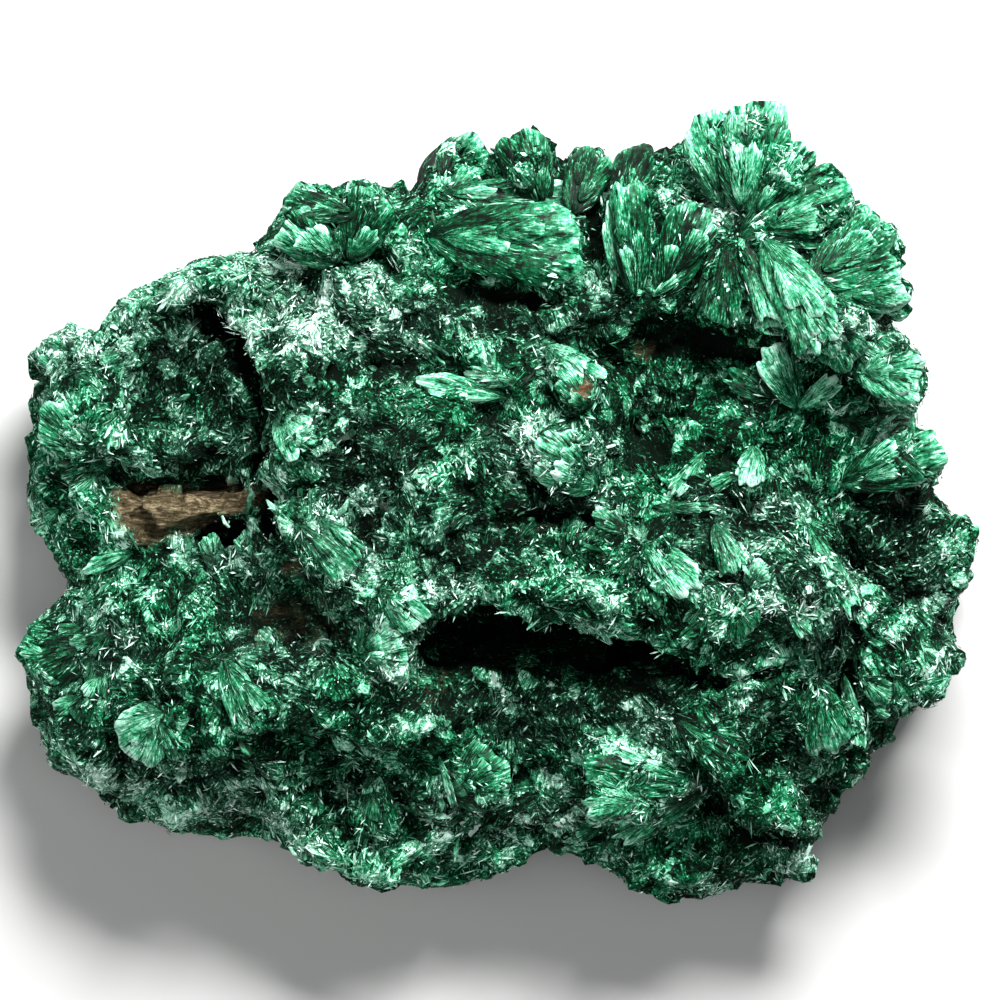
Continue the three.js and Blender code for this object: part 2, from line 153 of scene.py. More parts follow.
# Lines and clumps of fibres with their silky sheen painted in: half width in mm, light, and x, y along each
sheenRidges = [
    (1.5, 0.26, [(-46.4, 15.6), (-42, 17.8), (-37, 21), (-32, 24.4), (-27, 24.2), (-21, 23.2)]),
    (1.0, 0.30, [(-46.0, 15.4), (-40.4, 15.2), (-39.4, 14.0)]),
    (1.2, 0.22, [(-38, 22), (-34, 20), (-30, 21.4)]), (1.0, 0.22, [(-41, 19), (-37, 17.4)]),
    (1.1, 0.24, [(-46.6, 3), (-46.2, -1), (-44.6, -4.4)]), (1.4, 0.26, [(-45.4, 9), (-41.4, 5.4)]),
    (0.7, 0.30, [(-39.8, 9), (-37.8, 6.6)]), (0.7, 0.36, [(-34, 9.4), (-30, 8.2), (-26.4, 5.4)]),
    (0.6, 0.34, [(-28.6, 7.4), (-26.6, 5.2), (-24.4, 5.4)]), (0.6, 0.26, [(-36, 10.6), (-31, 9.6)]),
    (0.8, 0.30, [(-44, 5.2), (-41, 2), (-41.6, -1)]),
    (1.0, 0.30, [(-27.6, 18), (-25, 17), (-23.4, 18.4)]),
    (1.2, 0.16, [(-26, 21), (-21, 18), (-17, 16.4)]), (1.4, 0.32, [(-21.4, 8.8), (-19, 6.2)]),
    (0.8, 0.24, [(-22.4, 4), (-21.6, 0), (-20.6, -3)]), (1.1, 0.26, [(-13, 22), (-9, 24), (-6, 23)]),
    (1.6, 0.32, [(-17.4, -1.6), (-16, -3.8)]), (0.9, 0.30, [(-19, -5.6), (-15, -8)]),
    (0.7, 0.34, [(-13, -4.6), (-12.2, -8)]), (1.0, 0.20, [(-22, 14), (-18, 15.4), (-13, 15)]),
    (0.8, 0.34, [(-9.8, 11.6), (-4, 10.8), (0.6, 9.2), (3, 6.6)]), (0.6, 0.34, [(-9.8, 7.6), (-6, 7.0)]),
    (0.6, 0.30, [(-9, 1.6), (-8, 0)]), (1.6, 0.30, [(0.6, 8.6), (4, 8), (8.6, 6.2)]),
    (1.5, 0.34, [(3.4, 4.6), (7, 3.4)]), (1.2, 0.34, [(8.2, 6), (9.6, 3.4), (10.6, 0.4)]),
    (0.9, 0.30, [(-2, 6), (-5, 3), (-6, -2)]), (0.8, 0.22, [(0.4, 2.4), (3.6, -0.6)]),
    (1.2, 0.30, [(-3.4, 13.4), (0.6, 11.8)]), (0.8, 0.26, [(4.2, 15), (4.4, 11.6)]),
    (0.7, 0.24, [(10.4, 13), (10.2, 10)]), (0.7, 0.20, [(-3, 15.6), (3, 16)]),
    (0.7, 0.30, [(-4.8, 28.2), (-2, 30), (2.6, 28.8), (7, 28), (8.4, 25.6), (8, 22)]),
    (0.8, 0.28, [(6.8, 22.4), (9, 21), (11.6, 20)]), (1.6, 0.24, [(18, 28.6), (20.6, 28)]),
    (0.8, 0.24, [(11, 30.4), (15, 31), (18, 32.4), (21, 30.6)]),
    (1.1, 0.30, [(5.6, -5.6), (9.6, -8.6), (13.6, -13.6), (16, -14.4)]),
    (1.2, 0.30, [(-9.8, -9.4), (-6.8, -13), (-9.8, -16)]),
    (0.9, 0.28, [(-4, -8.2), (1.4, -11), (9.6, -13.4)]),
    (1.3, 0.34, [(-12.6, -16.6), (-9.4, -17.2)]), (1.4, 0.26, [(14.6, -6), (20, -10.4), (21.6, -13.6)]),
    (1.0, 0.28, [(17, -14.4), (22, -17.6), (26, -17), (30, -14.4)]),
    (1.1, 0.28, [(20, -9.8), (24, -11), (30, -10.6)]), (0.8, 0.30, [(21, -5.6), (24, -4.8), (28, -5.2)]),
    (1.0, 0.34, [(29.6, -1.6), (31, -5), (33.6, -9.6)]), (0.8, 0.30, [(35.4, -8), (37, -10)]),
    (1.0, 0.22, [(29, -14.6), (31, -18), (34, -17.6), (36, -19.4)]),
    (0.9, 0.24, [(44.6, -4), (46, -8.4), (44.8, -14), (43, -18), (40, -20.4)]),
    (0.8, 0.26, [(31.6, 0.8), (36.4, 2.6), (39.6, 5.4)]),
    (1.0, 0.26, [(31.6, 9.4), (35, 8.4), (39, 6.4)]),
    (1.2, 0.20, [(-41.6, -11.6), (-38.6, -10.8)]), (2.0, 0.26, [(-37.6, -14), (-36.6, -18)]),
    (1.0, 0.30, [(-44.4, -19), (-42, -19.6)]), (1.0, 0.16, [(-46.8, -12), (-47.2, -17)]),
    (1.1, 0.36, [(-46, -24.4), (-43, -27.4), (-38.6, -28.6), (-34, -31.2), (-30, -31.4)]),
    (1.2, 0.30, [(-27.6, -29), (-25.8, -30)]), (1.6, 0.34, [(-23.6, -32), (-20.4, -34)]),
    (0.8, 0.32, [(-20, -35.6), (-14, -37.6), (-8, -38.4), (-3, -36.4), (1, -34.4)]),
    (1.0, 0.22, [(-12, -34.6), (-7, -36), (-3, -34.6)]), (1.1, 0.26, [(-32.6, -3.4), (-32, -6)]),
    (1.0, 0.24, [(-29.6, -7), (-28.8, -9)]), (1.0, 0.22, [(-26, -5.4), (-22, -6.8)]),
    (0.9, 0.24, [(-44.6, -7), (-42, -9.6), (-37, -8.4)]),
    (0.8, 0.20, [(-36, -9), (-33, -11), (-34.6, -13)]),
    (0.5, 0.40, [(-4, -17), (-3.6, -19.4)]), (0.5, 0.40, [(-0.6, -17.6), (0.4, -20.4)]),
    (0.6, 0.28, [(-10, -22), (-7.6, -23.4)]),
    (0.7, 0.30, [(10, -22), (11.6, -24.4), (17, -25.4), (19.6, -28)]),
    (0.6, 0.24, [(6.6, -17.6), (9.6, -21.4), (10.4, -24)]), (0.7, 0.22, [(16, -22), (19, -24)]),
    (1.4, 0.26, [(16, -31), (17, -34), (10, -35.6)]), (1.0, 0.24, [(11, -32), (14, -31)]),
    (0.7, 0.34, [(-5, -31.8), (-2, -32)]), (0.9, 0.22, [(-1, -34.6), (3, -34)]),
    (0.8, 0.26, [(27, -31.6), (29, -28.6), (32, -26)]), (0.6, 0.34, [(20.4, -30), (22.6, -33)]),
    (0.8, 0.26, [(18, -35), (22, -36.4), (26, -35.4), (31, -36.4)]),
    (0.9, 0.2, [(16.6, -38), (22, -39.4)]),
]
# Where the green is dull and greyish: x, y, half width, half height, strength
greyFields = [
    (-20, 20, 9, 5, 0.8), (-11, 17, 8, 4, 0.7), (-32, 15, 7, 4, 0.7), (-44, 14, 3, 3, 0.7),
    (-42, -15, 5, 6, 0.8), (-38, -28, 11, 3, 0.7), (-13, 0, 5, 8, 0.8), (-6, -5, 7, 4, 0.5),
    (24, -2, 5, 3, 1.0), (26, -8, 5, 3, 0.7), (31, -13, 3, 4, 0.6), (10, -21, 11, 3, 0.8),
    (3, -32, 8, 3, 0.7), (26, -36, 9, 3, 0.4), (21, 28, 5, 3, 0.8), (36, 18, 5, 4, 0.6),
    (0, 18, 10, 3, 0.8), (41, -4, 6, 9, 0.6), (-27, 2, 7, 8, 0.7), (8, -1.5, 6, 2, 0.7),
    (-20, -14, 8, 5, 0.5), (3, 4.6, 6, 4, 0.5), (-17, -3, 4, 4, 0.7), (-26, -30, 4, 3, 0.7),
]
# Deep places with painted shade, where few fibres grow: x, y, half width, half height, and the
# height under which the shade is painted
shadedHollows = [
    (-5, -14.6, 4.4, 3.2, 25), (0, -14.4, 5, 3.0, 24.6), (6, -15.0, 5, 3.0, 24.6),
    (11, -15.8, 4, 2.6, 25), (16, -16.7, 4, 2.0, 25), (21, -18.5, 3, 1.0, 26),
    (25.5, -18.8, 3, 0.9, 26), (29, -17.5, 2, 0.8, 26), (-7, -18, 2.6, 2.0, 22),
    (-28.4, 17.6, 3.2, 2.2, 19), (-25.8, 14.6, 2.0, 2.6, 20), (-24.2, 10, 1.2, 3.5, 20),
    (-25.0, 3.4, 2.4, 1.4, 19), (-24, -1.4, 1.6, 2.6, 18), (-31, 2.2, 6.0, 0.7, 17),
    (-26, -3.0, 4.4, 1.9, 17), (0, 19.8, 7, 1.0, 28), (19, 16.0, 7, 1.0, 28),
    (7, -1.6, 4.0, 0.8, 28),
    (21, -31, 1.2, 0.9, 14), (26, -33.8, 3.4, 0.7, 16), (37.3, 1.2, 3, 0.7, 24),
    (-12.4, 12.8, 5, 0.9, 29), (-9, 12, 1.6, 1.2, 29), (-4, 7.4, 5, 0.9, 29), (29, 15.4, 1.6, 1.2, 28),
    (-19.4, -6.8, 1.4, 0.7, 25), (-13, -9, 1.2, 0.7, 25), (-1.6, -7, 1.0, 0.6, 28),
    (-42, -22.4, 2.4, 0.8, 16), (-28, -29.4, 1.2, 0.8, 14), (9.4, 26, 0.6, 3, 30),
]
# Where iron has stained the stone, and how red it is there: x, y, half width, half height,
# strength, redness
stains = [
    (-33.4, -0.8, 5.0, 2.3, 1.4, 0.0), (-28.0, 0.2, 5.4, 1.3, 1.3, 0.0),
    (-34.6, -3.0, 2.4, 1.6, 0.8, 0.1),
    (8.1, 10.8, 0.8, 1.4, 0.95, 0.95), (14.2, 15.0, 1.2, 1.1, 0.5, 0.3), (-20, -12, 5, 3.0, 0.32, 0.0),
    (-7, -18.8, 2.4, 2.2, 0.26, 0.0), (-20, -6.6, 1.5, 1.0, 0.5, 0.5), (4, -3.2, 5, 1.2, 0.24, 0.1),
]


# Large fans, each from where its fibres start to the middle of its rim: start x, y, rim x, y,
# half the spread in degrees, half the thickness, how far the start and the rim stand above the
# stone, light (partly painted silky sheen), and how far the rim curls
fans = {
    "upperOval": (-7.4, 26.0, 7.4, 24.6, 21, 1.2, 0.2, 2.0, 0.66, -1.0),
    "upperLedge": (-6.4, 30.2, 6.4, 29.2, 12, 0.8, 0.0, 1.4, 0.78, -0.6),
    "crestLeft": (-8.4, 31.4, -2.2, 34.6, 20, 0.9, -0.5, 0.2, 0.55, -0.6),
    "crest": (4.2, 28.6, 2.4, 36.2, 28, 1.4, 0.0, 0.2, 0.42, -1.0),
    "crestRight": (7.0, 28.0, 9.4, 34.5, 24, 1.1, 0.0, 0.2, 0.45, -0.8),
    "gapFan": (11.6, 27.6, 14.0, 35.0, 20, 1.0, -0.5, 0.2, 0.35, -0.8),
    "notchBright": (-15.8, 23.2, -20.6, 28.0, 27, 0.8, 0.3, 1.4, 0.92, -0.4),
    "notchDark": (-15.0, 23.4, -12.0, 30.2, 26, 0.9, 0.0, 1.2, 0.5, -0.4),
    "notchCrest": (-13.6, 28.0, -21.0, 29.8, 18, 0.9, 0.0, 0.8, 0.5, -0.6),
    "tallLobe": (13.4, 19.0, 12.8, 30.9, 13, 1.4, 0.3, 2.6, 0.62, -0.8),
    "tallEdge": (11.2, 20.0, 10.9, 29.4, 5, 0.7, 0.8, 2.8, 1.0, 0.0),
    "besideTall": (15.6, 19.6, 19.0, 28.6, 22, 1.2, 0.0, 1.4, 0.45, -0.6),
    "crownLeft": (22.0, 28.4, 20.2, 37.6, 22, 1.2, 0.0, 1.0, 0.85, -1.2),
    "crown": (23.6, 28.0, 24.2, 38.8, 25, 1.4, 0.2, 1.4, 0.82, -1.4),
    "crownRight": (24.4, 27.2, 29.2, 35.0, 20, 1.2, 0.2, 1.0, 0.6, -1.2),
    "shoulderFan": (23.2, 25.8, 33.8, 30.0, 20, 1.2, 0.2, 1.2, 0.72, -1.0),
    "shoulderLow": (24.2, 25.0, 33.0, 25.6, 12, 1.0, 0.4, 1.4, 0.5, -0.6),
    "shoulderLobe": (29.8, 21.0, 38.4, 26.2, 24, 1.2, 0.0, 0.8, 0.74, -1.0),
    "rightFan": (25.4, 25.6, 32.4, 15.8, 19, 1.4, 0.6, 1.5, 0.95, -0.8),
    "rightFanLow": (30.0, 19.0, 34.6, 13.0, 24, 1.0, 0.4, 1.2, 0.74, -0.4),
    "innerLobe": (23.0, 26.0, 27.2, 16.6, 12, 1.2, 0.8, 2.6, 0.6, -0.8),
    "innerEdge": (25.0, 24.4, 27.8, 16.4, 5, 0.8, 1.6, 3.2, 0.95, -0.3),
    "innerDark": (22.0, 25.6, 21.0, 17.2, 22, 1.1, 0.2, 1.6, 0.3, -0.5),
    "edgeLobeHigh": (32.6, 20.0, 40.2, 20.0, 24, 1.1, 0.2, 0.8, 0.88, -0.8),
    "edgeLobe": (35.0, 12.6, 41.6, 11.6, 32, 1.1, 0.0, 0.8, 0.95, -0.8),
    "edgeLobeMid": (33.6, 8.0, 40.4, 7.0, 20, 1.0, 0.2, 0.6, 0.5, -0.5),
    "edgeLobeLow": (33.4, 1.6, 42.6, 5.0, 20, 1.1, 0.3, 1.4, 0.68, -0.6),
    "butterflyLeft": (29.2, 8.9, 25.9, 14.3, 19, 0.6, 2.0, 3.6, 1.0, -0.3),
    "butterflyRight": (29.2, 8.9, 33.0, 11.6, 17, 0.6, 2.0, 3.4, 1.0, -0.3),
    "butterflyDark": (29.0, 8.8, 22.6, 12.4, 14, 0.6, 0.2, 0.6, 0.3, -0.2),
    "leaf": (20.2, 4.8, 17.0, 0.7, 13, 0.5, 0.4, 1.0, 0.92, -0.2),
    "kite": (25.0, 5.4, 24.4, 1.4, 26, 0.6, 0.6, 1.2, 1.0, -0.2),
    "kiteFoot": (23.4, 2.6, 20.8, 1.2, 22, 0.6, 0.4, 0.6, 0.62, -0.2),
    "strip": (14.8, -0.6, 20.8, -1.0, 8, 0.5, 0.6, 0.8, 0.66, 0.0),
    "spike": (14.6, 1.4, 13.6, -1.6, 7, 0.4, 0.6, 1.0, 0.9, 0.0),
    "spearFan": (21.0, -2.2, 23.0, -7.0, 20, 0.7, 0.8, 1.2, 0.72, -0.2),
    "blockFan": (14.0, -4.0, 18.8, -9.0, 22, 0.9, 0.4, 1.2, 0.86, -0.2),
    "windowFan": (30.2, -2.0, 34.4, -11.0, 9, 0.8, 0.4, 1.4, 0.8, -0.4),
    "windowTop": (24.4, -8.6, 25.8, -5.8, 40, 0.6, 0.2, 0.9, 0.8, -0.2),
    "stepFan": (31.0, -17.4, 34.2, -25.0, 22, 1.1, 0.0, 0.8, 0.6, -0.6),
    "stepBlade": (34.2, -17.0, 35.8, -24.8, 8, 0.8, 0.2, 1.2, 0.8, -0.3),
    "lowLeftFan": (-33.2, -21.0, -37.4, -25.0, 42, 0.5, 0.8, 1.0, 1.0, 0.1),
    "lowLeftGreen": (-33.8, -21.6, -31.6, -25.8, 24, 0.7, 0.4, 0.9, 0.6, -0.3),
    "middleLeftFan": (-27.4, -15.6, -23.6, -21.8, 20, 0.8, 0.6, 1.3, 0.84, -0.6),
    "ridgeFan": (-14.0, -15.2, -9.2, -13.6, 36, 0.9, 0.5, 1.4, 0.9, -0.3),
    "ridgeHigh": (-12.0, -8.6, -7.6, -12.2, 24, 0.8, 0.3, 0.9, 0.8, -0.3),
    "bud": (-4.9, -29.5, 0.3, -26.9, 42, 0.9, 0.5, 1.2, 0.50, -0.8),
    "budBlade": (-6.1, -25.2, -4.6, -30.2, 6, 0.5, 0.5, 0.8, 1.0, 0.0),
    "longLowFan": (20.6, -28.4, 9.4, -26.2, 14, 1.1, 0.8, 1.6, 0.52, -0.8),
    "longLowEdge": (19.8, -28.2, 10.6, -24.8, 4, 0.6, 0.8, 1.6, 0.95, -0.8),
    "longLowFoot": (20.6, -28.6, 11.4, -33.0, 15, 1.0, 0.6, 1.0, 0.66, -0.8),
    "button": (13.4, -29.8, 8.6, -30.6, 30, 0.9, 1.0, 1.6, 0.86, -0.5),
    "leftEdgeFan": (-40.6, 4.4, -45.2, 9.0, 30, 0.6, 0.4, 0.6, 0.7, 0.0),
    "leftLowFan": (-38.6, 3.6, -43.6, 1.6, 20, 0.7, 0.2, 0.6, 0.72, -0.4),
    "flatSpear": (-36.6, -5.2, -41.6, -6.6, 15, 0.6, 0.6, 0.9, 0.86, 0.0),
    "streakFan": (1.0, 10.0, -7.6, 11.6, 12, 0.9, 0.6, 1.2, 0.8, -0.3),
    "tuft": (1.8, 11.6, -3.6, 12.8, 16, 0.8, 0.6, 1.4, 0.95, -0.3),
    "arch": (4.4, 15.2, 8.8, 11.4, 18, 0.9, 0.6, 1.8, 0.95, -1.0),
    "archPlate": (8.6, 9.0, 6.0, 11.6, 34, 0.6, 0.6, 0.9, 0.6, -0.2),
    "clump": (9.8, 1.4, 4.0, 4.8, 34, 1.2, 0.4, 1.4, 0.84, -0.8),
    "rimBright": (-22.0, 8.6, -18.8, 5.8, 24, 0.7, 0.4, 0.8, 0.96, -0.2),
    "rimLow": (-20.0, -2.0, -15.0, -7.6, 18, 0.9, 0.2, 1.0, 0.66, -0.4),
    "rimMid": (-17.6, -1.8, -14.0, -5.8, 20, 0.9, 0.4, 1.0, 0.85, -0.3),
    "shelfFan": (17.0, -21.4, 24.0, -26.0, 16, 0.6, 0.0, 0.5, 0.30, -0.5),
    "moundGreen": (-12.6, -27.0, -12.2, -33.0, 24, 1.0, 0.2, 0.6, 0.5, -0.6),
    "moundRim": (-40.0, -14.0, -46.6, -16.4, 30, 1.0, 0.0, 0.2, 0.42, -0.8),
    "starNeedle": (14.8, 19.8, 19.0, 23.2, 10, 0.5, 0.8, 2.0, 0.96, 0.0),
    "starLow": (18.6, 18.2, 22.0, 20.8, 9, 0.4, 0.8, 1.6, 0.96, 0.0),
    "pitLip": (6.2, -5.4, 8.0, -1.9, 24, 0.6, 0.3, 0.8, 0.42, -0.2),
    "pitLipRight": (12.6, -3.2, 9.2, -1.6, 22, 0.6, 0.3, 0.8, 0.5, -0.2),
    "pitLipLeft": (1.4, -4.4, 3.6, -2.2, 26, 0.6, 0.3, 0.6, 0.35, -0.2),
    "ledgeLip": (-28.4, -7.2, -28.8, -3.5, 24, 0.5, 0.3, 0.7, 0.5, -0.1),
    "ledgeLipRight": (-24.2, -6.6, -26.0, -3.4, 22, 0.5, 0.3, 0.8, 0.7, -0.1),
}
# Where fibres only lie in the stone's surface and run out from one place: x, y, reach in mm
bursts = [
    (31.0, -0.5, 17), (33.6, -8, 13), (24, 26, 7), (0.6, 9.4, 5), (-8, -7, 6), (14, -5, 6),
    (20.4, -28.6, 7), (-27.4, -15.6, 4), (-41, 5, 4), (29, -12, 5), (0.4, -22, 5), (26, -31, 4),
]


def awayFromLine(points, line):  # mm on the face from each point to a line of points
    nearest = np.full(len(points), 99.0)
    for (x0, y0), (x1, y1) in zip(line[:-1], line[1:]):
        dx, dy = x1 - x0, y1 - y0
        share = ((points[:, 0] - x0) * dx + (points[:, 1] - y0) * dy) / (dx * dx + dy * dy)
        share = np.clip(share, 0, 1)
        away = np.hypot(points[:, 0] - x0 - share * dx, points[:, 1] - y0 - share * dy)
        nearest = np.minimum(nearest, away)
    return nearest


def zoneAt(points):  # light from 0 to 1, and cover with fibres, at points on the face
    light = np.full(len(points), 0.245)
    cover = np.full(len(points), 0.55)
    # the fields' own tone, with painted shade under overhangs and painted light on shaded places
    for x, y, halfWide, halfHigh, lighter, denser in shadeAndToneZones:
        near = np.exp(-((points[:, 0] - x) / halfWide) ** 2 - ((points[:, 1] - y) / halfHigh) ** 2)
        light += lighter * near
        cover += denser * near
    uneven = points + 0.8 * np.stack([softNoise(points, 1.7, seed) for seed in (61, 62, 63)], axis=1)
    bright = np.zeros(len(points))
    # painted silky sheen along the lines, where the fibres are also denser
    for halfWide, lighter, line in sheenRidges:
        near = np.exp(-(awayFromLine(uneven, line) / halfWide) ** 2)
        bright = np.maximum(bright, lighter * near)
    light += bright
    cover += 1.6 * bright
    # painted shade in the deep places, which also get fewer fibres
    for x, y, halfWide, halfHigh, top in shadedHollows:
        inside = ((uneven[:, 0] - x) / halfWide) ** 2 + ((uneven[:, 1] - y) / halfHigh) ** 2
        dark = np.clip(1.35 - inside, 0, 1) * np.clip((top - points[:, 2]) / 2.5, 0, 1)
        light -= dark * (light + 0.25)
        cover *= 1 - 0.95 * dark
    return light, np.clip(cover, 0.03, 1.2)


def greyAt(points):
    grey = 0.25 + 0.5 * softNoise(points, 5.0, 71) + 0.3 * softNoise(points, 1.8, 72)
    for x, y, halfWide, halfHigh, strength in greyFields:
        grey += strength * np.exp(
            -((points[:, 0] - x) / halfWide) ** 2 - ((points[:, 1] - y) / halfHigh) ** 2
        )
    return np.clip(grey, 0, 1)


def stainAt(points, normals):
    strength = np.zeros(len(points))
    redness = np.zeros(len(points))
    ragged = points + 0.6 * np.stack([softNoise(points, 0.9, seed) for seed in (65, 66, 67)], axis=1)
    for x, y, halfWide, halfHigh, strong, red in stains:
        near = np.exp(-((ragged[:, 0] - x) / halfWide) ** 4 - ((ragged[:, 1] - y) / halfHigh) ** 4)
        strength = np.maximum(strength, strong * near)
        redness = np.maximum(redness, red * near)
    strength *= np.clip(normals[:, 2] + 0.9, 0, 1) * (points[:, 2] > 8)
    return np.clip(strength + 0.25 * (strength > 0.05) * softNoise(points, 0.8, 5), 0, 1), redness


# The stone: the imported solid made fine, and broken into small plates of radiating fibres
stoneLook = dict(
    voxel=0.47,  # mm between points
    keep=0.68,  # share of the facets kept, fewest of them low down
    cells=2800,  # plates of fibres over the whole surface
    warp=0.7,  # how uneven the plates' edges are
    tilt=0.48,  # how steeply a plate rises to its rim
    steps=0.32,  # how far plates stand above each other
    grain=0.16,
    fadeFrom=2.5,  # mm above the table where the relief fades out
)


def fineSolid(node, voxel, keep):
    work = node.copy()
    work.data = node.data.copy()
    bpy.context.scene.collection.objects.link(work)
    remesh = work.modifiers.new("voxels", "REMESH")
    remesh.mode = "VOXEL"
    remesh.voxel_size = voxel * mm
    evaluated = work.evaluated_get(bpy.context.evaluated_depsgraph_get())
    mesh = bpy.data.meshes.new_from_object(evaluated)
    work.modifiers.remove(remesh)
    work.data = mesh
    verts, tris = readMesh(mesh)
    normals = vertexNormals(verts, tris)
    low = work.vertex_groups.new(name="low")
    lowness = np.clip(1.1 - verts[:, 2] / 16 - normals[:, 2] * 0.5, 0.02, 1)
    for i, weight in enumerate(np.round(lowness, 2).tolist()):
        low.add([i], weight, "REPLACE")
    thin = work.modifiers.new("thin", "DECIMATE")
    thin.ratio = keep
    thin.vertex_group = "low"
    thin.vertex_group_factor = 6
    evaluated = work.evaluated_get(bpy.context.evaluated_depsgraph_get())
    verts, tris = readMesh(bpy.data.meshes.new_from_object(evaluated))
    bpy.data.objects.remove(work)
    return verts, tris


def nearestCell(tree, points):
    return np.array([tree.find(p)[1] for p in points.tolist()])


def growCells(verts, normals, count):
    picked = rng.choice(len(verts), count, replace=False)
    centre, normal = verts[picked], normals[picked]
    # neighbouring plates share a drift of their fibres' direction
    drift = np.stack([softNoise(centre, 6.0, seed) for seed in (11, 12, 13)], axis=1)
    ahead = drift * 1.6 + rng.normal(0, 0.5, (count, 3))
    sunburst = rng.random(count) < 0.06
    behind = np.where(sunburst, rng.uniform(0.0, 0.5, count), rng.uniform(2.4, 8.0, count))
    # or they radiate from a burst, or from where a large fan starts
    spots = [(x, y, reach, 0, 0, 360) for x, y, reach in bursts]
    spots += [
        (x0, y0, 1.25 * math.hypot(x1 - x0, y1 - y0), x1 - x0, y1 - y0, spread + 14)
        for x0, y0, x1, y1, spread, *rest in fans.values()
    ]
    for x, y, reach, dx, dy, halfAngle in spots:
        away = centre[:, :2] - np.array([x, y])
        far = np.maximum(np.linalg.norm(away, axis=1), 0.3)
        near = far < reach * rng.uniform(0.6, 1.0, count)
        if halfAngle < 180:
            along = away @ np.array([dx, dy]) / math.hypot(dx, dy)
            near &= along > far * math.cos(math.radians(halfAngle))
        ahead[near] = np.concatenate([away, 0 * away[:, :1]], axis=1)[near] / far[near, None]
        ahead[near] += rng.normal(0, 0.34, (near.sum(), 3))
        behind[near] = np.clip(far[near], 1.0, 9)
    along = unit(ahead - normal * np.sum(ahead * normal, axis=1, keepdims=True))
    across = np.cross(normal, along)
    tree = KDTree(count)
    for i, c in enumerate(centre.tolist()):
        tree.insert(c, i)
    tree.balance()
    return dict(
        tree=tree, centre=centre, normal=normal, along=along, across=across,
        start=centre - along * behind[:, None],
        rise=rng.uniform(0.0, 1.0, count), lean=rng.uniform(-0.6, 0.6, count),
        # each plate's light is its silky sheen, painted in
        level=rng.uniform(-1, 1, count), light=np.minimum(rng.exponential(0.16, count), 0.5) - 0.14,
    )


def shapeStone(verts, tris, cells):
    look = stoneLook
    normals = vertexNormals(verts, tris)
    warped = verts + look["warp"] * np.stack([softNoise(verts, 1.6, s) for s in (21, 22, 23)], axis=1)
    cell = nearestCell(cells["tree"], warped)
    away = verts - cells["centre"][cell]
    ahead = np.sum(away * cells["along"][cell], axis=1)
    beside = np.sum(away * cells["across"][cell], axis=1)
    push = look["tilt"] * (cells["rise"][cell] * ahead + cells["lean"][cell] * beside)
    push = np.clip(push, -0.7, 0.9) + look["steps"] * cells["level"][cell]
    push += look["grain"] * softNoise(verts, 0.7, 31) + 0.3 * softNoise(verts, 2.2, 32)
    push *= np.clip(verts[:, 2] / look["fadeFrom"], 0, 1) ** 2
    shaped = verts + normals * push[:, None]
    shaped[:, 2] = np.maximum(shaped[:, 2], 0.0)
    return shaped, warped


def sprayCoords(points, cell, cells):  # mm along and across a plate's fibres, and the plate's number
    away = points - cells["start"][cell]
    ahead = np.sum(away * cells["along"][cell], axis=-1)
    beside = np.sum(away * cells["across"][cell], axis=-1)
    return np.stack([ahead, beside, ahead * 0 + cell * 1.37], axis=-1)


baseVerts, tris = fineSolid(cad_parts["malachite"], stoneLook["voxel"], stoneLook["keep"])
print("stone made fine:", len(tris), "triangles")
cells = growCells(baseVerts, vertexNormals(baseVerts, tris), stoneLook["cells"])
verts, warped = shapeStone(baseVerts, tris, cells)
faceNormal = unit(faceNormals(verts, tris))
normals = vertexNormals(verts, tris)
faceMiddle = verts[tris].mean(axis=1)
faceCell = nearestCell(cells["tree"], warped[tris].mean(axis=1))
spray = sprayCoords(baseVerts[tris], faceCell[:, None], cells)
surface = BVHTree.FromPolygons(verts.tolist(), tris.tolist())
print("stone shaped")


def skySeen(verts, normals):  # share of the sky over the face that each point sees
    rays = []
    for ring, (count, slope) in enumerate(((1, 0), (5, 28), (7, 56))):
        for k in range(count):
            turn = 2 * math.pi * (k + ring / 3) / count
            tilt = math.radians(slope)
            aside = math.sin(tilt)
            rays.append((aside * math.cos(turn), aside * math.sin(turn), math.cos(tilt)))
    seen = np.zeros(len(verts))
    starts = (verts + normals * 0.35 + up * 0.1).tolist()
    for ray in rays:
        seen += [surface.ray_cast(place, ray, 14.0)[0] is None for place in starts]
    return seen / len(rays)


def stoneUnder(x, y):  # the topmost point of the stone at a place on the face, if there is one
    return surface.ray_cast((x, y, 80.0), (0, 0, -1))[0]


def heightUnder(x, y):
    hit = stoneUnder(x, y)
    return hit.z if hit else 6.0


def onStone(points):  # which points have the stone straight under or over them
    return np.array([stoneUnder(x, y) is not None for x, y in points.tolist()])


def skewed(count, spread):  # most a little darker, a few much brighter
    return rng.exponential(spread, count) - 0.9 * spread


def standProud(verts, tris, rounds):  # mm that each point stands out of the smooth form
    a = tris.ravel()
    b = tris[:, [1, 2, 0]].ravel()
    count = np.bincount(a, minlength=len(verts)) + np.bincount(b, minlength=len(verts))
    smooth = verts.copy()
    for _ in range(rounds):
        for axis in range(3):
            values = smooth[:, axis]
            total = np.bincount(a, values[b], len(verts)) + np.bincount(b, values[a], len(verts))
            smooth[:, axis] = 0.5 * values + 0.5 * total / count
    return np.sum((verts - smooth) * vertexNormals(smooth, tris), axis=1)


sky = skySeen(verts, normals)
proud = standProud(verts, tris, 40)
light, cover = zoneAt(verts)
# painted shade where a point sees little sky, and painted highlight where the surface stands proud
light = light * (0.25 + 0.75 * np.clip(sky * 1.5, 0, 1)) + np.clip(proud * 0.16, -0.2, 0.16)
cover = cover * np.clip(sky * 2.2 - 0.25, 0.02, 1)
stain, red = stainAt(verts, normals)
stoneTone = np.stack([light, stain, red, greyAt(verts)], axis=1)[tris]
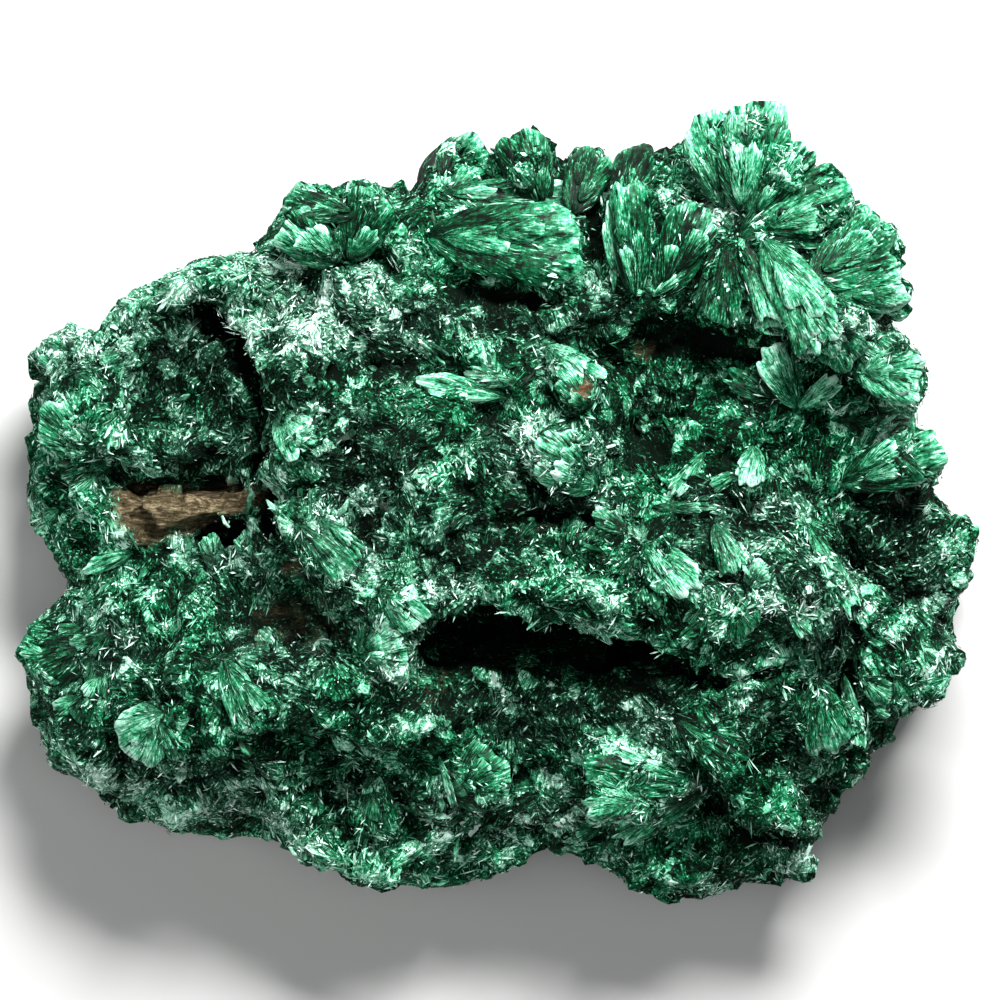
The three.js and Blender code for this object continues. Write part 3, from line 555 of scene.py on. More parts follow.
# each plate's painted silky sheen
stoneTone[:, :, 0] += 0.8 * cells["light"][faceCell][:, None]
stone = makeMesh("stone", verts, tris, spray.reshape(-1, 3), stoneTone.reshape(-1, 4), True)
print("stone toned")

fanLook = dict(rows=9, cols=36, waves=4, waveHeight=0.2, rimJag=0.012, skin=0.4, broad=1.7)
leafletLook = dict(rows=7, cols=24, waves=3, waveHeight=0.14, rimJag=0.02, skin=0.22, broad=1.4)


def leafGrid(start, along, across, over, length, spread, thick, curl, look, seed):
    # rows run from where the fibres start to the rim, columns across the fan
    way = np.linspace(0.04, 1, look["rows"])[:, None]
    side = np.linspace(-1, 1, look["cols"])[None, :]
    column = np.stack([side[0] * 2.2 + seed, side[0] * 0, side[0] * 0], axis=1)
    skew = 0.6 * (hashed(np.array([seed, 7, 1]), 4) - 0.5)
    ragged = 1 + look["rimJag"] * rng.uniform(-0.5, 0.5, look["cols"]) + 0.09 * softNoise(column, 0.6, 9)
    reach = length * way * (1 - 0.26 * np.abs(side - skew) ** 3) * ragged[None, :]
    turn = side * np.minimum(spread * (1 + look["broad"] * (1 - way) ** 1.5), 1.2)
    crown = thick * np.sqrt(np.clip(1 - side ** 2, 0, 1)) * way ** 0.8 * (1 - 0.75 * way ** 5)
    crown = crown + look["waveHeight"] * softNoise(column * look["waves"], 2.2, 14)[None, :] * way
    crown = crown + curl * way ** 3
    top = (
        start
        + (reach * np.cos(turn))[..., None] * along
        + (reach * np.sin(turn))[..., None] * across
        + crown[..., None] * over
    )
    spray = np.stack([reach * np.cos(turn), reach * np.sin(turn), reach * 0 + seed * 3.1], axis=-1)
    aside, onward = (side + 0 * way).ravel(), (way + 0 * side).ravel()
    patches = np.stack([aside * 2.0 + seed, onward * 2.2, 0 * aside], axis=1)
    patchLight = 0.20 * softNoise(patches, 0.9, 17).reshape(len(way), -1)
    return top, spray, way + 0 * side, patchLight


def closedLeaf(top, under):
    rows, cols = top.shape[:2]
    index = np.arange(rows * cols).reshape(rows, cols)
    a, b = index[:-1, :-1].ravel(), index[:-1, 1:].ravel()
    c, d = index[1:, 1:].ravel(), index[1:, :-1].ravel()
    upper = np.concatenate([np.stack([a, d, c], 1), np.stack([a, c, b], 1)])
    lower = upper[:, ::-1] + rows * cols
    edge = np.concatenate([index[0, :], index[1:, -1], index[-1, -2::-1], index[-2:0:-1, 0]])
    after = np.roll(edge, -1)
    wall = np.concatenate([
        np.stack([edge, after, after + rows * cols], 1),
        np.stack([edge, after + rows * cols, edge + rows * cols], 1),
    ])
    points = np.concatenate([top.reshape(-1, 3), under.reshape(-1, 3)])
    return points, np.concatenate([upper, lower, wall])


def addLeaf(store, top, spray, way, patchLight, over, light, skin):
    body = skin * (0.35 + 0.65 * np.sin(np.pi * np.clip(way, 0, 1)))
    under = top - body[..., None] * over
    points, faces = closedLeaf(top, under)
    # lighter towards the rim, with a painted highlight along the rim's edge
    tone = light + 0.34 * (way - 0.75) + 0.22 * (way > 0.97) + 1.2 * patchLight
    tone = toneOf(tone.ravel(), 0.3 * greyAt(top.reshape(-1, 3)))
    # the underside is darker: painted shade
    tones = np.concatenate([tone, tone - np.array([0.3, 0, 0, 0])])
    sprays = np.concatenate([spray.reshape(-1, 3), spray.reshape(-1, 3)])
    store["tris"].append(faces + store["count"])
    store["verts"].append(points)
    store["tone"].append(tones[faces])
    store["spray"].append(sprays[faces])
    store["count"] += len(points)


def toneOf(light, grey):
    return np.stack([light, light * 0, light * 0, grey], axis=-1)


def newStore():
    return dict(verts=[], tris=[], tone=[], spray=[], count=0)


pastBox = np.array([0.6, 0.6, 1.0])  # mm that a piece may stand past the solid's box


def finishStore(name, store, smooth):
    verts = np.concatenate(store["verts"])
    tris = np.concatenate(store["tris"])
    spray = np.concatenate(store["spray"]).reshape(-1, 3)
    tone = np.concatenate(store["tone"]).reshape(-1, 4)
    lowest, highest = np.array(cadLow) / mm, np.array(cadHigh) / mm
    verts = np.clip(verts, lowest - pastBox * (1, 1, 0), highest + pastBox)
    print(name, len(tris), "triangles")
    return makeMesh(name, verts, tris, spray, tone, smooth)


fanTops = []


def seatLeaf(top, clear):  # lays a leaf on whatever stands higher under it, eased over the steps
    seat = np.array([[heightUnder(p[0], p[1]) for p in row] for row in top])
    lift = np.clip(seat + clear - top[..., 2], 0, 1.4)
    for _ in range(14):
        wide = np.pad(lift, 1, mode="edge")
        around = wide[:-2, 1:-1] + wide[2:, 1:-1] + wide[1:-1, :-2] + wide[1:-1, 2:]
        lift = (lift * 2 + around) / 6
    top[..., 2] += lift


def growLargeFans():
    store = newStore()
    for seed, (x0, y0, x1, y1, spread, thick, startUp, rimUp, light, curl) in enumerate(fans.values()):
        xIn, yIn = x0 + 0.86 * (x1 - x0), y0 + 0.86 * (y1 - y0)
        start = np.array([x0, y0, heightUnder(x0, y0) + 0.4 * startUp])
        rim = np.array([x1, y1, heightUnder(xIn, yIn) + 0.35 * rimUp])
        rim[2] = max(rim[2], start[2] - 0.45 * math.hypot(x1 - x0, y1 - y0))
        along = unit(rim - start)
        across = unit(np.cross(up, along))
        over = np.cross(along, across)
        length = np.linalg.norm(rim - start)
        # the brightest fans get extra painted sheen
        light = 0.58 * light + 0.05 + 0.4 * max(light - 0.85, 0)
        top, spray, way, patchLight = leafGrid(
            start, along, across, over, length, math.radians(spread), thick, curl, fanLook, seed
        )
        seatLeaf(top, 0.12)
        addLeaf(store, top, spray, way, patchLight, over, light, fanLook["skin"])
        fanTops.append((top, over, light))
        # narrower leaflets overlap the fan
        for k in range(2 if length > 4 else 1):
            turn = math.radians(spread) * rng.uniform(-0.6, 0.6)
            ahead = math.cos(turn) * along + math.sin(turn) * across
            beside = np.cross(over, ahead)
            begin = start + ahead * length * rng.uniform(0.05, 0.45) + over * (thick * 0.55)
            leaflet, spray, way, patchLight = leafGrid(
                begin, ahead, beside, over, length * rng.uniform(0.32, 0.52),
                math.radians(max(spread, 14)) * rng.uniform(0.7, 1.1), thick * 0.6, 0.3 * curl, leafletLook,
                300 + 7 * seed + k,
            )
            seatLeaf(leaflet, 0.3)
            leafLight = min(light + rng.normal(0.02, 0.12), 0.72)
            addLeaf(store, leaflet, spray, way, patchLight, over, leafLight, leafletLook["skin"])
    return finishStore("large_fans", store, True)


# Where broad scales of fibres overlap each other: x, y, half width, half height, how many, and
# the place that their fibres run from
scaleBeds = [
    (24, 33, 5.5, 5, 22, 24, 26), (31, 28, 5, 4, 14, 24, 26), (35, 20, 5.5, 6, 22, 27, 24),
    (30, 19, 4, 6, 12, 25, 26), (37.5, 10, 4, 6, 16, 31, 9), (38, 3.6, 5, 2.5, 8, 31, 0),
    (19, 29, 4, 3, 10, 15, 21), (7, 31, 6, 4, 14, 4, 24), (-5, 32, 5, 3, 8, -8, 26),
    (-16, 27, 4, 3, 8, -14, 23), (1, 25, 6, 3, 6, -8, 26), (-41, 1, 3.5, 7, 12, -36, 2),
    (33, -20, 3.5, 5, 12, 32, -14), (24, -12, 5, 4, 8, 24, -5), (14, -31, 5, 3, 8, 20, -28),
    (-6, -35, 5, 2.5, 6, -8, -30), (42, -15, 4, 6, 8, 33, -4), (-42, -15, 4, 5, 10, -38, -12),
    (-38, 19.5, 5, 3, 16, -32, 9), (-30, 23, 5, 2.5, 12, -28, 10), (-44, 14, 2.5, 3, 8, -36, 10),
]


def growScales():
    store = newStore()
    seed = 700
    for x, y, halfWide, halfHigh, count, xFrom, yFrom in scaleBeds:
        for _ in range(count):
            seed += 1
            turn, far = rng.uniform(0, 2 * math.pi), math.sqrt(rng.uniform(0, 1))
            xAt, yAt = x + halfWide * far * math.cos(turn), y + halfHigh * far * math.sin(turn)
            heading = math.atan2(yAt - yFrom, xAt - xFrom) + rng.normal(0, 0.3)
            size = rng.uniform(2.0, 4.4)
            reachX, reachY = xAt + size * math.cos(heading), yAt + size * math.sin(heading)
            if not onStone(np.array([[xAt, yAt], [reachX, reachY]])).all():
                continue
            rim = np.array([reachX, reachY, heightUnder(reachX, reachY) + 0.3])
            start = np.array([xAt, yAt, heightUnder(xAt, yAt) - 0.1])
            ahead = unit(rim - start)
            onWay = [start + t * (rim - start) for t in (0.25, 0.5, 0.75)]
            bulge = max(abs(heightUnder(x, y) - z) for x, y, z in onWay)
            if abs(ahead[2]) > 0.5 or bulge > 0.9:
                continue
            beside = unit(np.cross(up, ahead))
            over = np.cross(ahead, beside)
            leaf, spray, way, patchLight = leafGrid(
                start, ahead, beside, over, size, math.radians(rng.uniform(18, 32)), 0.12 * size,
                -0.10 * size, leafletLook, seed,
            )
            seatLeaf(leaf, 0.12)
            light = zoneAt(rim[None])[0][0] + 0.16 + rng.normal(0, 0.14)
            addLeaf(store, leaf, spray, way, patchLight, over, min(light, 0.56), leafletLook["skin"])
    return finishStore("scales", store, True)


# Places on the stone's surface, more of them where the fibres are dense
area = np.linalg.norm(faceNormals(verts, tris), axis=1) / 2
faceLight, faceCover = light[tris].mean(axis=1), cover[tris].mean(axis=1)
faceStain = stain[tris].mean(axis=1)


def scatter(count, power=1.0, topOnly=False):
    weight = area * faceCover ** power * np.clip(1 - faceStain * 1.1, 0.02, 1)
    weight = weight * np.clip(faceMiddle[:, 2] / 3 - 0.6, 0, 1)
    weight = weight * np.clip(0.5 + 2.2 * cells["light"][faceCell], 0.2, 2)
    if topOnly:
        weight = weight * np.clip(faceNormal[:, 2] * 1.6 + 0.6, 0.12, 1)
    else:
        weight = weight * np.clip(faceNormal[:, 2] + 0.9, 0.25, 1)
    face = rng.choice(len(tris), count, p=weight / weight.sum())
    a, b = rng.random(count), rng.random(count)
    flip = a + b > 1
    a[flip], b[flip] = 1 - a[flip], 1 - b[flip]
    corners = verts[tris[face]]
    place = corners[:, 0] + a[:, None] * (corners[:, 1] - corners[:, 0])
    place = place + b[:, None] * (corners[:, 2] - corners[:, 0])
    return place, face


def fibreFrame(place, face, wander):
    # the way that the fibres of the plate here run, its side and the surface's normal
    normal = normals[tris[face]].mean(axis=1)
    normal = unit(normal)
    away = place - cells["start"][faceCell[face]]
    away = away + rng.normal(0, wander, away.shape)
    along = unit(away - normal * np.sum(away * normal, axis=1, keepdims=True))
    return along, np.cross(normal, along), normal


def addFlakes(store, root, ahead, over, long, spread, thick, light):
    # each is a thin wedge with a broken rim, a little crowned, narrow where its fibres start
    count = len(root)
    side = unit(np.cross(over, ahead))
    over = np.cross(ahead, side)
    share = np.linspace(-1, 1, 5)[None, :]
    turn = spread[:, None] * share
    reach = long[:, None] * (1 - 0.3 * share ** 2) * rng.uniform(0.72, 1.0, (count, 5))
    foot = long[:, None] * 0.08 * np.array([[-1.0, 1.0]])
    forward = np.concatenate([foot[:, :1] * 0, reach * np.cos(turn), foot[:, :1] * 0], axis=1)
    beside = np.concatenate([foot[:, :1], reach * np.sin(turn), foot[:, 1:]], axis=1)
    wave = rng.normal(0, 0.05, (count, 7)) * long[:, None]

    def place(forwardBy, besideBy, upBy):
        return (
            root[:, None] + forwardBy[..., None] * ahead[:, None] + besideBy[..., None] * side[:, None]
            + upBy[..., None] * over[:, None]
        )

    aside = rng.normal(0, 0.08, (count, 1)) * long[:, None]
    crown = place(long[:, None] * 0.55, aside, (thick + 0.06 * long)[:, None])
    top = place(forward, beside, wave)
    under = place(forward * 0.96, beside * 0.92, wave - thick[:, None])
    points = np.concatenate([crown, top, under], axis=1)
    faces = [(0, 1 + i, 1 + (i + 1) % 7) for i in range(7)]
    faces += [(8, 8 + i + 1, 8 + i) for i in range(1, 6)]
    for i in range(7):
        after = (i + 1) % 7
        faces += [(1 + i, 8 + i, 8 + after), (1 + i, 8 + after, 1 + after)]
    corners = (np.array(faces)[None] + 15 * np.arange(count)[:, None, None]).reshape(-1, 3)
    # painted shade at the root corners and on the underside, painted highlight along the rim
    shade = light[:, None] + np.array([0.0, -0.2, 0.12, 0.14, 0.1, 0.14, 0.12, -0.2] + [-0.22] * 7)
    shade = shade + rng.normal(0, 0.05, shade.shape)
    tone = toneOf(shade.ravel(), np.repeat(greyAt(root), 15))
    flat = np.concatenate([long[:, None] * 0.55, forward, forward], axis=1) + 0.4 * long[:, None]
    across = np.concatenate([long[:, None] * 0, beside, beside], axis=1)
    spray = np.stack([flat, across, flat * 0 + 1.7 * np.arange(count)[:, None]], axis=-1).reshape(-1, 3)
    store["verts"].append(points.reshape(-1, 3))
    store["tris"].append(corners + store["count"])
    store["tone"].append(tone[corners])
    store["spray"].append(spray[corners])
    store["count"] += 15 * count


flakeLook = dict(
    count=4800, typical=0.85, variety=0.4, longest=3.0, liftLow=-4, liftHigh=12, roll=12, wander=0.6,
    spreadLow=4, spreadHigh=12, lightSpread=0.24, crowding=2.0,
)


def growFlakes(name, look):
    store = newStore()
    count = look["count"]
    place, face = scatter(count, look["crowding"], True)
    along, across, normal = fibreFrame(place, face, look["wander"])
    # with the plate's painted silky sheen
    light = faceLight[face] + 0.5 * cells["light"][faceCell[face]] + skewed(count, look["lightSpread"])
    long = rng.lognormal(math.log(look["typical"]), look["variety"], count)
    long = np.clip(long, 0.45, look["longest"])
    level = np.clip(normal[:, 2] * 1.4, 0.1, 1)
    lift = np.radians(rng.uniform(look["liftLow"], look["liftHigh"], count)) * level
    roll = np.radians(rng.normal(0, look["roll"], count))
    spread = np.radians(rng.uniform(look["spreadLow"], look["spreadHigh"], count))
    ahead = np.cos(lift)[:, None] * along + np.sin(lift)[:, None] * normal
    over = np.cross(ahead, across)
    side = np.cos(roll)[:, None] * across + np.sin(roll)[:, None] * over
    over = np.cross(ahead, side)
    root = place - normal * (0.08 * long)[:, None]
    kept = onStone((root + ahead * long[:, None])[:, :2])
    root, ahead, over, long, spread, light = (v[kept] for v in (root, ahead, over, long, spread, light))
    addFlakes(store, root, ahead, over, long, spread, 0.05 + 0.06 * long, light)
    return finishStore(name, store, False)


def addNeedles(store, root, ahead, over, long, half, light):
    # each is a sliver with four facets: root, tip and two sides
    side = unit(np.cross(over, ahead))
    over = np.cross(ahead, side)
    long, half = long[:, None], half[:, None]
    belly = root + ahead * long * 0.5 + over * half * 0.7
    points = np.stack([root, root + ahead * long, belly + side * half, belly - side * half], axis=1)
    faces = np.array([[0, 2, 1], [0, 1, 3], [0, 3, 2], [1, 2, 3]])
    edges = points[:, 1:] - points[:, :1]
    turned = np.sum(np.cross(edges[:, 1], edges[:, 0]) * edges[:, 2], axis=1) > 0
    needles = np.where(turned[:, None, None], faces[None, :, ::-1], faces[None])
    corners = (needles + 4 * np.arange(len(root))[:, None, None]).reshape(-1, 3)
    # painted shade at the root and a painted highlight at the tip
    shade = light[:, None] + np.array([-0.24, 0.08, 0.0, 0.0])
    tone = toneOf(shade.ravel(), np.repeat(greyAt(root), 4))
    store["verts"].append(points.reshape(-1, 3))
    store["tris"].append(corners + store["count"])
    store["tone"].append(tone[corners])
    store["spray"].append(np.zeros((len(corners), 3, 3)))
    store["count"] += 4 * len(root)


needleLook = dict(
    bunches=5600, each=7, longest=1.1, thick=0.14, fan=50, liftLow=-6, liftHigh=12, roll=0.6,
    lightSpread=0.34, loose=0.6, brightShare=0.24,
)


def growNeedles(name, look, onFans=0):
    store = newStore()
    bunches, each = look["bunches"], look["each"]
    place, face = scatter(bunches, 1.3)
    along, across, normal = fibreFrame(place, face, 0.5)
    # with the plate's painted silky sheen
    bunchLight = faceLight[face] + 0.5 * cells["light"][faceCell[face]]
    bunchLight = bunchLight + rng.normal(0, 0.06, bunches)
    lift = np.radians(rng.uniform(look["liftLow"], look["liftHigh"], bunches))
    size = look["longest"] * rng.uniform(0.4, 1, bunches) ** 1.2 * (0.75 + 0.4 * faceCover[face])
    total = bunches * each
    bunch = np.repeat(np.arange(bunches), each)
    turn = np.radians(rng.uniform(-look["fan"], look["fan"], total))
    turn = np.where(rng.random(total) < look["loose"], rng.uniform(-math.pi, math.pi, total), turn)
    rise = lift[bunch] + rng.normal(0, 0.16, total)
    flat = np.cos(turn)[:, None] * along[bunch] + np.sin(turn)[:, None] * across[bunch]
    ahead = np.cos(rise)[:, None] * flat + np.sin(rise)[:, None] * normal[bunch]
    over = unit(normal[bunch] + rng.normal(0, look["roll"], (total, 3)))
    bright = rng.random(total) < look["brightShare"]
    long = size[bunch] * rng.uniform(0.5, 1.0, total) * (1 + 0.4 * bright)
    half = look["thick"] * rng.uniform(0.6, 1.2, total) * (1 + 0.35 * bright) / 2
    root = place[bunch] + rng.normal(0, 0.2, (total, 3))
    root = root + normal[bunch] * (0.04 + 0.08 * bright[:, None]) - ahead * 0.1
    # a share of the needles carry a painted glint, and are also longer and thicker
    light = bunchLight[bunch] - 0.12 + bright * rng.uniform(0.3, look["lightSpread"] * 2.4, total)
    light = np.clip(light + rng.normal(0, 0.08, total), 0, 1.1)
    kept = onStone((root + ahead * long[:, None])[:, :2])
    root, ahead, over, long, half, light = (v[kept] for v in (root, ahead, over, long, half, light))
    addNeedles(store, root, ahead, over, long, half, light)
    for top, over, light in fanTops if onFans else []:
        row = rng.integers(1, top.shape[0] - 2, onFans)
        col = rng.integers(0, top.shape[1], onFans)
        ahead = unit(top[row + 1, col] - top[row, col])
        reach = np.linalg.norm(top[-1, top.shape[1] // 2] - top[0, 0])
        long = reach * rng.uniform(0.06, 0.2, onFans)
        root = top[row, col] - over * 0.02
        hint = unit(over + rng.normal(0, 0.5, (onFans, 3)))
        fibreLight = np.clip(light + skewed(onFans, 0.24), 0, 1.1)
        addNeedles(store, root, ahead, hint, long, rng.uniform(0.04, 0.08, onFans), fibreLight)
    return finishStore(name, store, False)


largeFans = growLargeFans()
scales = growScales()
flakeSets = [
    growFlakes("flakes_large", dict(
        flakeLook, count=2800, typical=1.4, spreadLow=3, spreadHigh=9, liftHigh=9,
        lightSpread=0.15, wander=0.9,
    )),
    growFlakes("flakes_small", dict(flakeLook, crowding=1.0)),
]
needleSets = [
    growNeedles("needles_short", needleLook, 50),
    growNeedles("needles_fine", dict(
        needleLook, bunches=12000, each=3, longest=0.7, thick=0.11, lightSpread=0.4, loose=1.0,
    )),
    growNeedles("needles_long", dict(
        needleLook, bunches=750, each=4, longest=1.9, fan=24, liftHigh=6, loose=0.25, brightShare=0.5,
    )),
]
print("fans and needles grown")


class Link:
    # one socket or number in a shader, with its maths written as plain Python
    def __init__(self, shader, value):
        self.shader, self.value = shader, value

    def maths(self, operation, first, second):
        return self.shader.node("ShaderNodeMath", dict(operation=operation), [first, second])

    def __add__(self, other):
        return self.maths("ADD", self, other)

    def __radd__(self, other):
        return self.maths("ADD", other, self)

    def __sub__(self, other):
        return self.maths("SUBTRACT", self, other)

    def __rsub__(self, other):
        return self.maths("SUBTRACT", other, self)

    def __mul__(self, other):
        return self.maths("MULTIPLY", self, other)

    def __rmul__(self, other):
        return self.maths("MULTIPLY", other, self)

    def __truediv__(self, other):
        return self.maths("DIVIDE", self, other)

    def __pow__(self, other):
        return self.maths("POWER", self, other)


class Shader:
    def __init__(self, name):
        self.material = bpy.data.materials.new(name)
        self.material.use_nodes = True
        self.tree = self.material.node_tree
        self.tree.nodes.clear()
        self.placed = 0

    def node(self, kind, settings=None, values=None, output=0):
        made = self.tree.nodes.new(kind)
        made.location = (220 * (self.placed % 12), -260 * (self.placed // 12))
        self.placed += 1
        for key, value in (settings or {}).items():
            if key == "stops":
                for stop, (place, colour) in zip(self.stopsOf(made, len(value)), value):
                    stop.position, stop.color = place, (*colour, 1)
            else:
                setattr(made, key, value)
        named = values.items() if isinstance(values, dict) else enumerate(values or [])
        for key, value in named:
            if isinstance(value, Link):
                self.tree.links.new(value.value, made.inputs[key])
            elif value is not None:
                made.inputs[key].default_value = value
        return Link(self, made.outputs[output]) if len(made.outputs) else made

    def stopsOf(self, ramp, count):
        while len(ramp.color_ramp.elements) < count:
            ramp.color_ramp.elements.new(1)
        return list(ramp.color_ramp.elements)

    def mix(self, factor, first, second):
        settings = dict(data_type="RGBA", clamp_factor=True)
        return self.node("ShaderNodeMix", settings, {0: factor, 6: first, 7: second}, output=2)


paint = dict(
    # linear colours, from the fibres' darkest to their silkiest
    greens=[
        (0.00, (0.0002, 0.0030, 0.0010)), (0.20, (0.0004, 0.0200, 0.0066)),
        (0.40, (0.0010, 0.0820, 0.0270)), (0.60, (0.0160, 0.2400, 0.1050)),
        (0.80, (0.1500, 0.5800, 0.3400)), (1.00, (0.5500, 0.9200, 0.7400)),
    ],
    greys=[
        (0.00, (0.0006, 0.0030, 0.0014)), (0.20, (0.0030, 0.0185, 0.0092)),
        (0.40, (0.0160, 0.0760, 0.0420)), (0.60, (0.0800, 0.2300, 0.1450)),
        (0.80, (0.3000, 0.5600, 0.4200)), (1.00, (0.7400, 0.9400, 0.8600)),
    ],
    browns=[(0.0, (0.006, 0.005, 0.002)), (0.5, (0.070, 0.053, 0.028)), (1.0, (0.34, 0.28, 0.17))],
    rust=(0.10, 0.030, 0.015, 1),
)


def fibreMaterial(name, look, roughness, sheen):
    shader = Shader(name)
    tone = shader.node("ShaderNodeAttribute", dict(attribute_name="tone"), output="Vector")
    light = shader.node("ShaderNodeSeparateXYZ", values=[tone], output=0)
    value = light
    stain = shader.node("ShaderNodeSeparateXYZ", values=[tone], output=1)
    redness = shader.node("ShaderNodeSeparateXYZ", values=[tone], output=2)
    noise = dict(noise_dimensions="3D")
    smooth = dict(interpolation_type="SMOOTHSTEP")
    height = None
    if look["stripes"]:
        spray = shader.node("ShaderNodeAttribute", dict(attribute_name="spray"), output="Vector")
        ahead = shader.node("ShaderNodeSeparateXYZ", values=[spray], output=0)
        beside = shader.node("ShaderNodeSeparateXYZ", values=[spray], output=1)
        plate = shader.node("ShaderNodeSeparateXYZ", values=[spray], output=2)
        turn = shader.node("ShaderNodeMath", dict(operation="ARCTAN2"), [beside, ahead])
        far = (ahead * ahead + beside * beside) ** 0.5
        wide = shader.node("ShaderNodeCombineXYZ", values=[turn * look["wide"], far * 0.55, plate])
        fine = shader.node("ShaderNodeCombineXYZ", values=[turn * look["fine"], far * 0.9, plate + 40])
        wideFibres = shader.node("ShaderNodeTexNoise", noise, {"Vector": wide, "Scale": 1.0, "Detail": 3.0})
        fineFibres = shader.node(
            "ShaderNodeTexNoise", noise, {"Vector": fine, "Scale": 1.0, "Detail": 4.0, "Roughness": 0.65}
        )
        height = wideFibres * 0.4 + fineFibres * 0.6
        value = value + (height - 0.5) * look["stripes"]
        brightest = [fineFibres, 0.56, 0.66, 0.0, look["streaks"]]
        darkest = [wideFibres, 0.44, 0.34, 0.0, look["gaps"]]
        value = value + shader.node("ShaderNodeMapRange", smooth, brightest)
        value = value - shader.node("ShaderNodeMapRange", smooth, darkest)
    where = shader.node("ShaderNodeTexCoord", output="Object")
    grain = {"Vector": where, "Scale": 2600.0, "Detail": 4.0, "Roughness": 0.7}
    specks = shader.node("ShaderNodeTexNoise", noise, grain)
    value = value + (specks - 0.5) * look["grain"]
    if look["patches"]:
        uneven = {"Vector": where, "Scale": 1500.0, "Detail": 2.0}
        bend = shader.node("ShaderNodeTexNoise", noise, uneven, output=1)
        shift = (0.9 * mm,) * 3
        bent = shader.node("ShaderNodeVectorMath", dict(operation="MULTIPLY_ADD"), [bend, shift, where])
        plates = {"Vector": bent, "Scale": 620.0}
        patch = shader.node("ShaderNodeTexVoronoi", dict(feature="F1"), plates, output=1)
        patch = shader.node("ShaderNodeSeparateXYZ", values=[patch], output=0)
        edge = shader.node("ShaderNodeTexVoronoi", dict(feature="DISTANCE_TO_EDGE"), plates)
        # painted shade in the gaps between plates
        gapShade = shader.node("ShaderNodeMapRange", smooth, [edge, 0.0, 0.07, 1.0, 0.0])
        value = value + (patch ** 3 - 0.2) * look["patches"] - gapShade * 0.22
    if look["flecks"]:
        bright = shader.node("ShaderNodeTexNoise", noise, {"Vector": where, "Scale": 3400.0, "Detail": 1.0})
        value = value + shader.node("ShaderNodeMapRange", smooth, [bright, 0.60, 0.70, 0.0, look["flecks"]])
    green = shader.node("ShaderNodeValToRGB", dict(stops=paint["greens"]), [value])
    grey = shader.node("ShaderNodeValToRGB", dict(stops=paint["greys"]), [value])
    greyness = shader.node("ShaderNodeAttribute", dict(attribute_name="greyness"), output="Fac")
    blotches = shader.node("ShaderNodeTexNoise", noise, {"Vector": where, "Scale": 800.0, "Detail": 4.0})
    green = shader.mix(greyness + (blotches - 0.5) * 1.8, green, grey)
    layered = {"Vector": where, "Scale": (0.35, 1.8, 1.8), "Rotation": (0, 0, 0.1)}
    layers = shader.node("ShaderNodeMapping", values=layered)
    rough = {"Vector": layers, "Scale": 1500.0, "Detail": 8.0, "Roughness": 0.75}
    rock = shader.node("ShaderNodeTexNoise", noise, rough)
    rockLight = (rock - 0.36) * 3.0 + (light - 0.25) * 0.5
    brown = shader.node("ShaderNodeValToRGB", dict(stops=paint["browns"]), [rockLight])
    brown = shader.mix(redness * redness * 0.8, brown, paint["rust"])
    colour = shader.mix(stain * 1.6 - 0.3, green, brown)
    settings = {"Base Color": colour, "Roughness": roughness, "Specular IOR Level": sheen}
    if height is not None:
        relief = {"Strength": 0.55, "Distance": 0.16 * mm, "Height": height + specks * 0.3}
        settings["Normal"] = shader.node("ShaderNodeBump", values=relief)
    surfaceShader = shader.node("ShaderNodeBsdfPrincipled", values=settings)
    shader.node("ShaderNodeOutputMaterial", values={"Surface": surfaceShader})
    return shader.material


# How strong each mark is, and how many wide and fine fibres cross a turn of one radian
stoneFibres = dict(
    stripes=1.5, grain=1.0, flecks=0.4, patches=0.55, wide=14, fine=38, streaks=0.3, gaps=0.2,
)
leafFibres = dict(stripes=1.5, grain=1.0, flecks=0.0, patches=0.0, streaks=0.34)
fanFibres = dict(leafFibres, wide=18, fine=52, gaps=0.4)
scaleFibres = dict(leafFibres, wide=11, fine=34, gaps=0.36)
flakeFibres = dict(
    stripes=0.9, grain=0.9, flecks=0.0, patches=0.0, wide=9, fine=30, streaks=0.15, gaps=0.2,
)
needleFibres = dict(stripes=0.0, grain=0.0, flecks=0.0, patches=0.0)
stoneMaterial = fibreMaterial("stone_fibres", stoneFibres, 0.9, 0.08)
fanMaterial = fibreMaterial("fan_fibres", fanFibres, 0.5, 0.12)
scaleMaterial = fibreMaterial("scale_fibres", scaleFibres, 0.5, 0.12)
flakeMaterial = fibreMaterial("flake_fibres", flakeFibres, 0.5, 0.15)
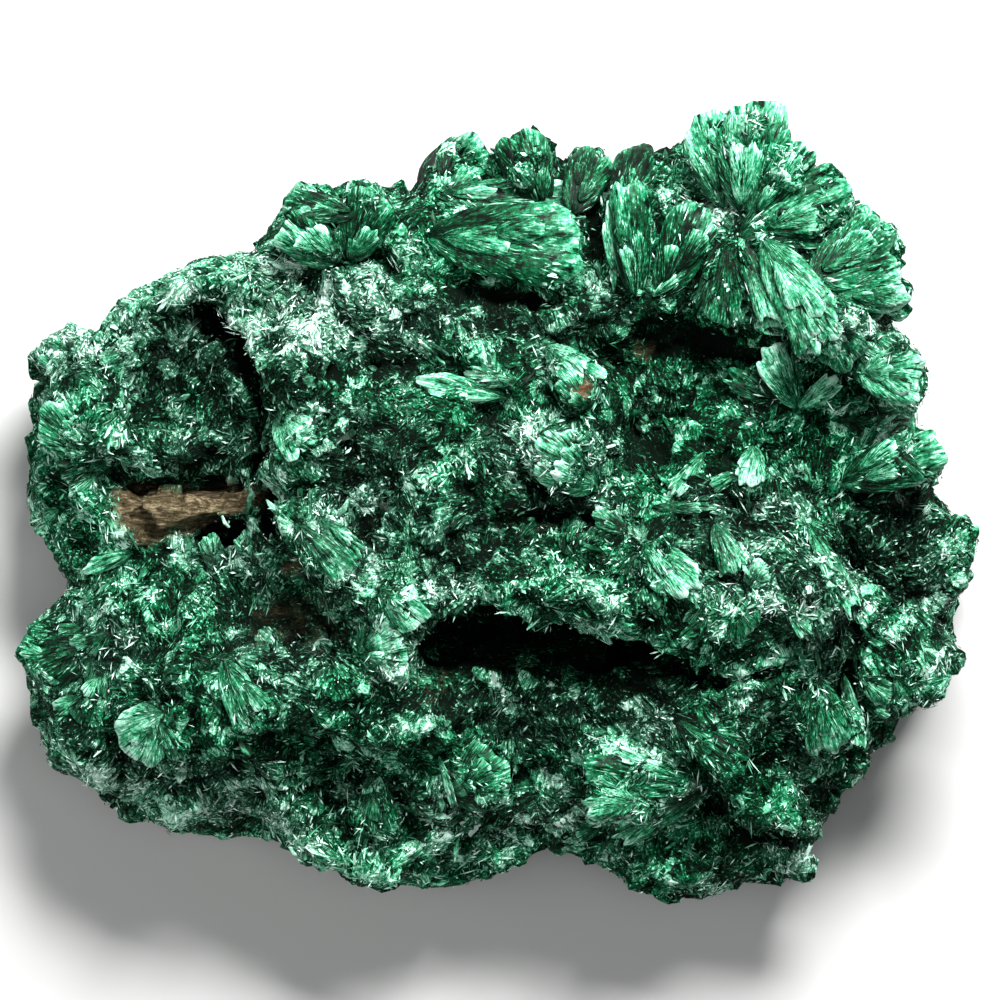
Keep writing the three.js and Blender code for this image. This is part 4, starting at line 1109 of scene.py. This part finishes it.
needleMaterial = fibreMaterial("needle_fibres", needleFibres, 0.5, 0.18)
for piece, material in (
    (stone, stoneMaterial), (largeFans, fanMaterial), (scales, scaleMaterial),
    *((needles, needleMaterial) for needles in needleSets),
    *((flakes, flakeMaterial) for flakes in flakeSets),
):
    piece.data.materials.append(material)
    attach(piece, "root")
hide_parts("malachite")
print("fibres coloured")

# Table, soft studio light and the camera that looks down on the face
studio = dict(tableSize=3.0, cameraHeight=618, lens=216, lookAt=(0, 0, 15))
bpy.ops.mesh.primitive_plane_add(size=studio["tableSize"])
table = bpy.context.object
table.name = "table"
tableShader = Shader("pale_table")
tableLook = {"Base Color": (0.60, 0.60, 0.59, 1), "Roughness": 0.7}
tableSurface = tableShader.node("ShaderNodeBsdfPrincipled", values=tableLook)
tableShader.node("ShaderNodeOutputMaterial", values={"Surface": tableSurface})
table.data.materials.append(tableShader.material)


def softLight(name, place, size, power):
    lamp = bpy.data.lights.new(name, "AREA")
    lamp.shape = "RECTANGLE"
    lamp.size, lamp.size_y = size[0] * mm, size[1] * mm
    lamp.energy = power
    holder = bpy.data.objects.new(name, lamp)
    holder.location = Vector(place) * mm
    aim = Vector(studio["lookAt"]) * mm - holder.location
    holder.rotation_euler = aim.to_track_quat("-Z", "Y").to_euler()
    bpy.context.scene.collection.objects.link(holder)


softLight("key", (90, 270, 330), (180, 100), 4.6)
softLight("fill", (-380, -120, 330), (400, 400), 0.9)
softLight("overhead", (60, -60, 620), (300, 300), 0.5)
world = bpy.data.worlds.new("room")
bpy.context.scene.world = world
world.use_nodes = True
world.node_tree.nodes["Background"].inputs["Color"].default_value = (0.9, 0.95, 1.0, 1)
world.node_tree.nodes["Background"].inputs["Strength"].default_value = 0.10

camera = bpy.data.objects.new("camera", bpy.data.cameras.new("camera"))
camera.data.lens = studio["lens"]
camera.data.clip_start = 0.01
camera.location = (0, 0, studio["cameraHeight"] * mm)
bpy.context.scene.collection.objects.link(camera)
bpy.context.scene.camera = camera
bpy.context.scene.view_settings.view_transform = "Standard"

print("ready")
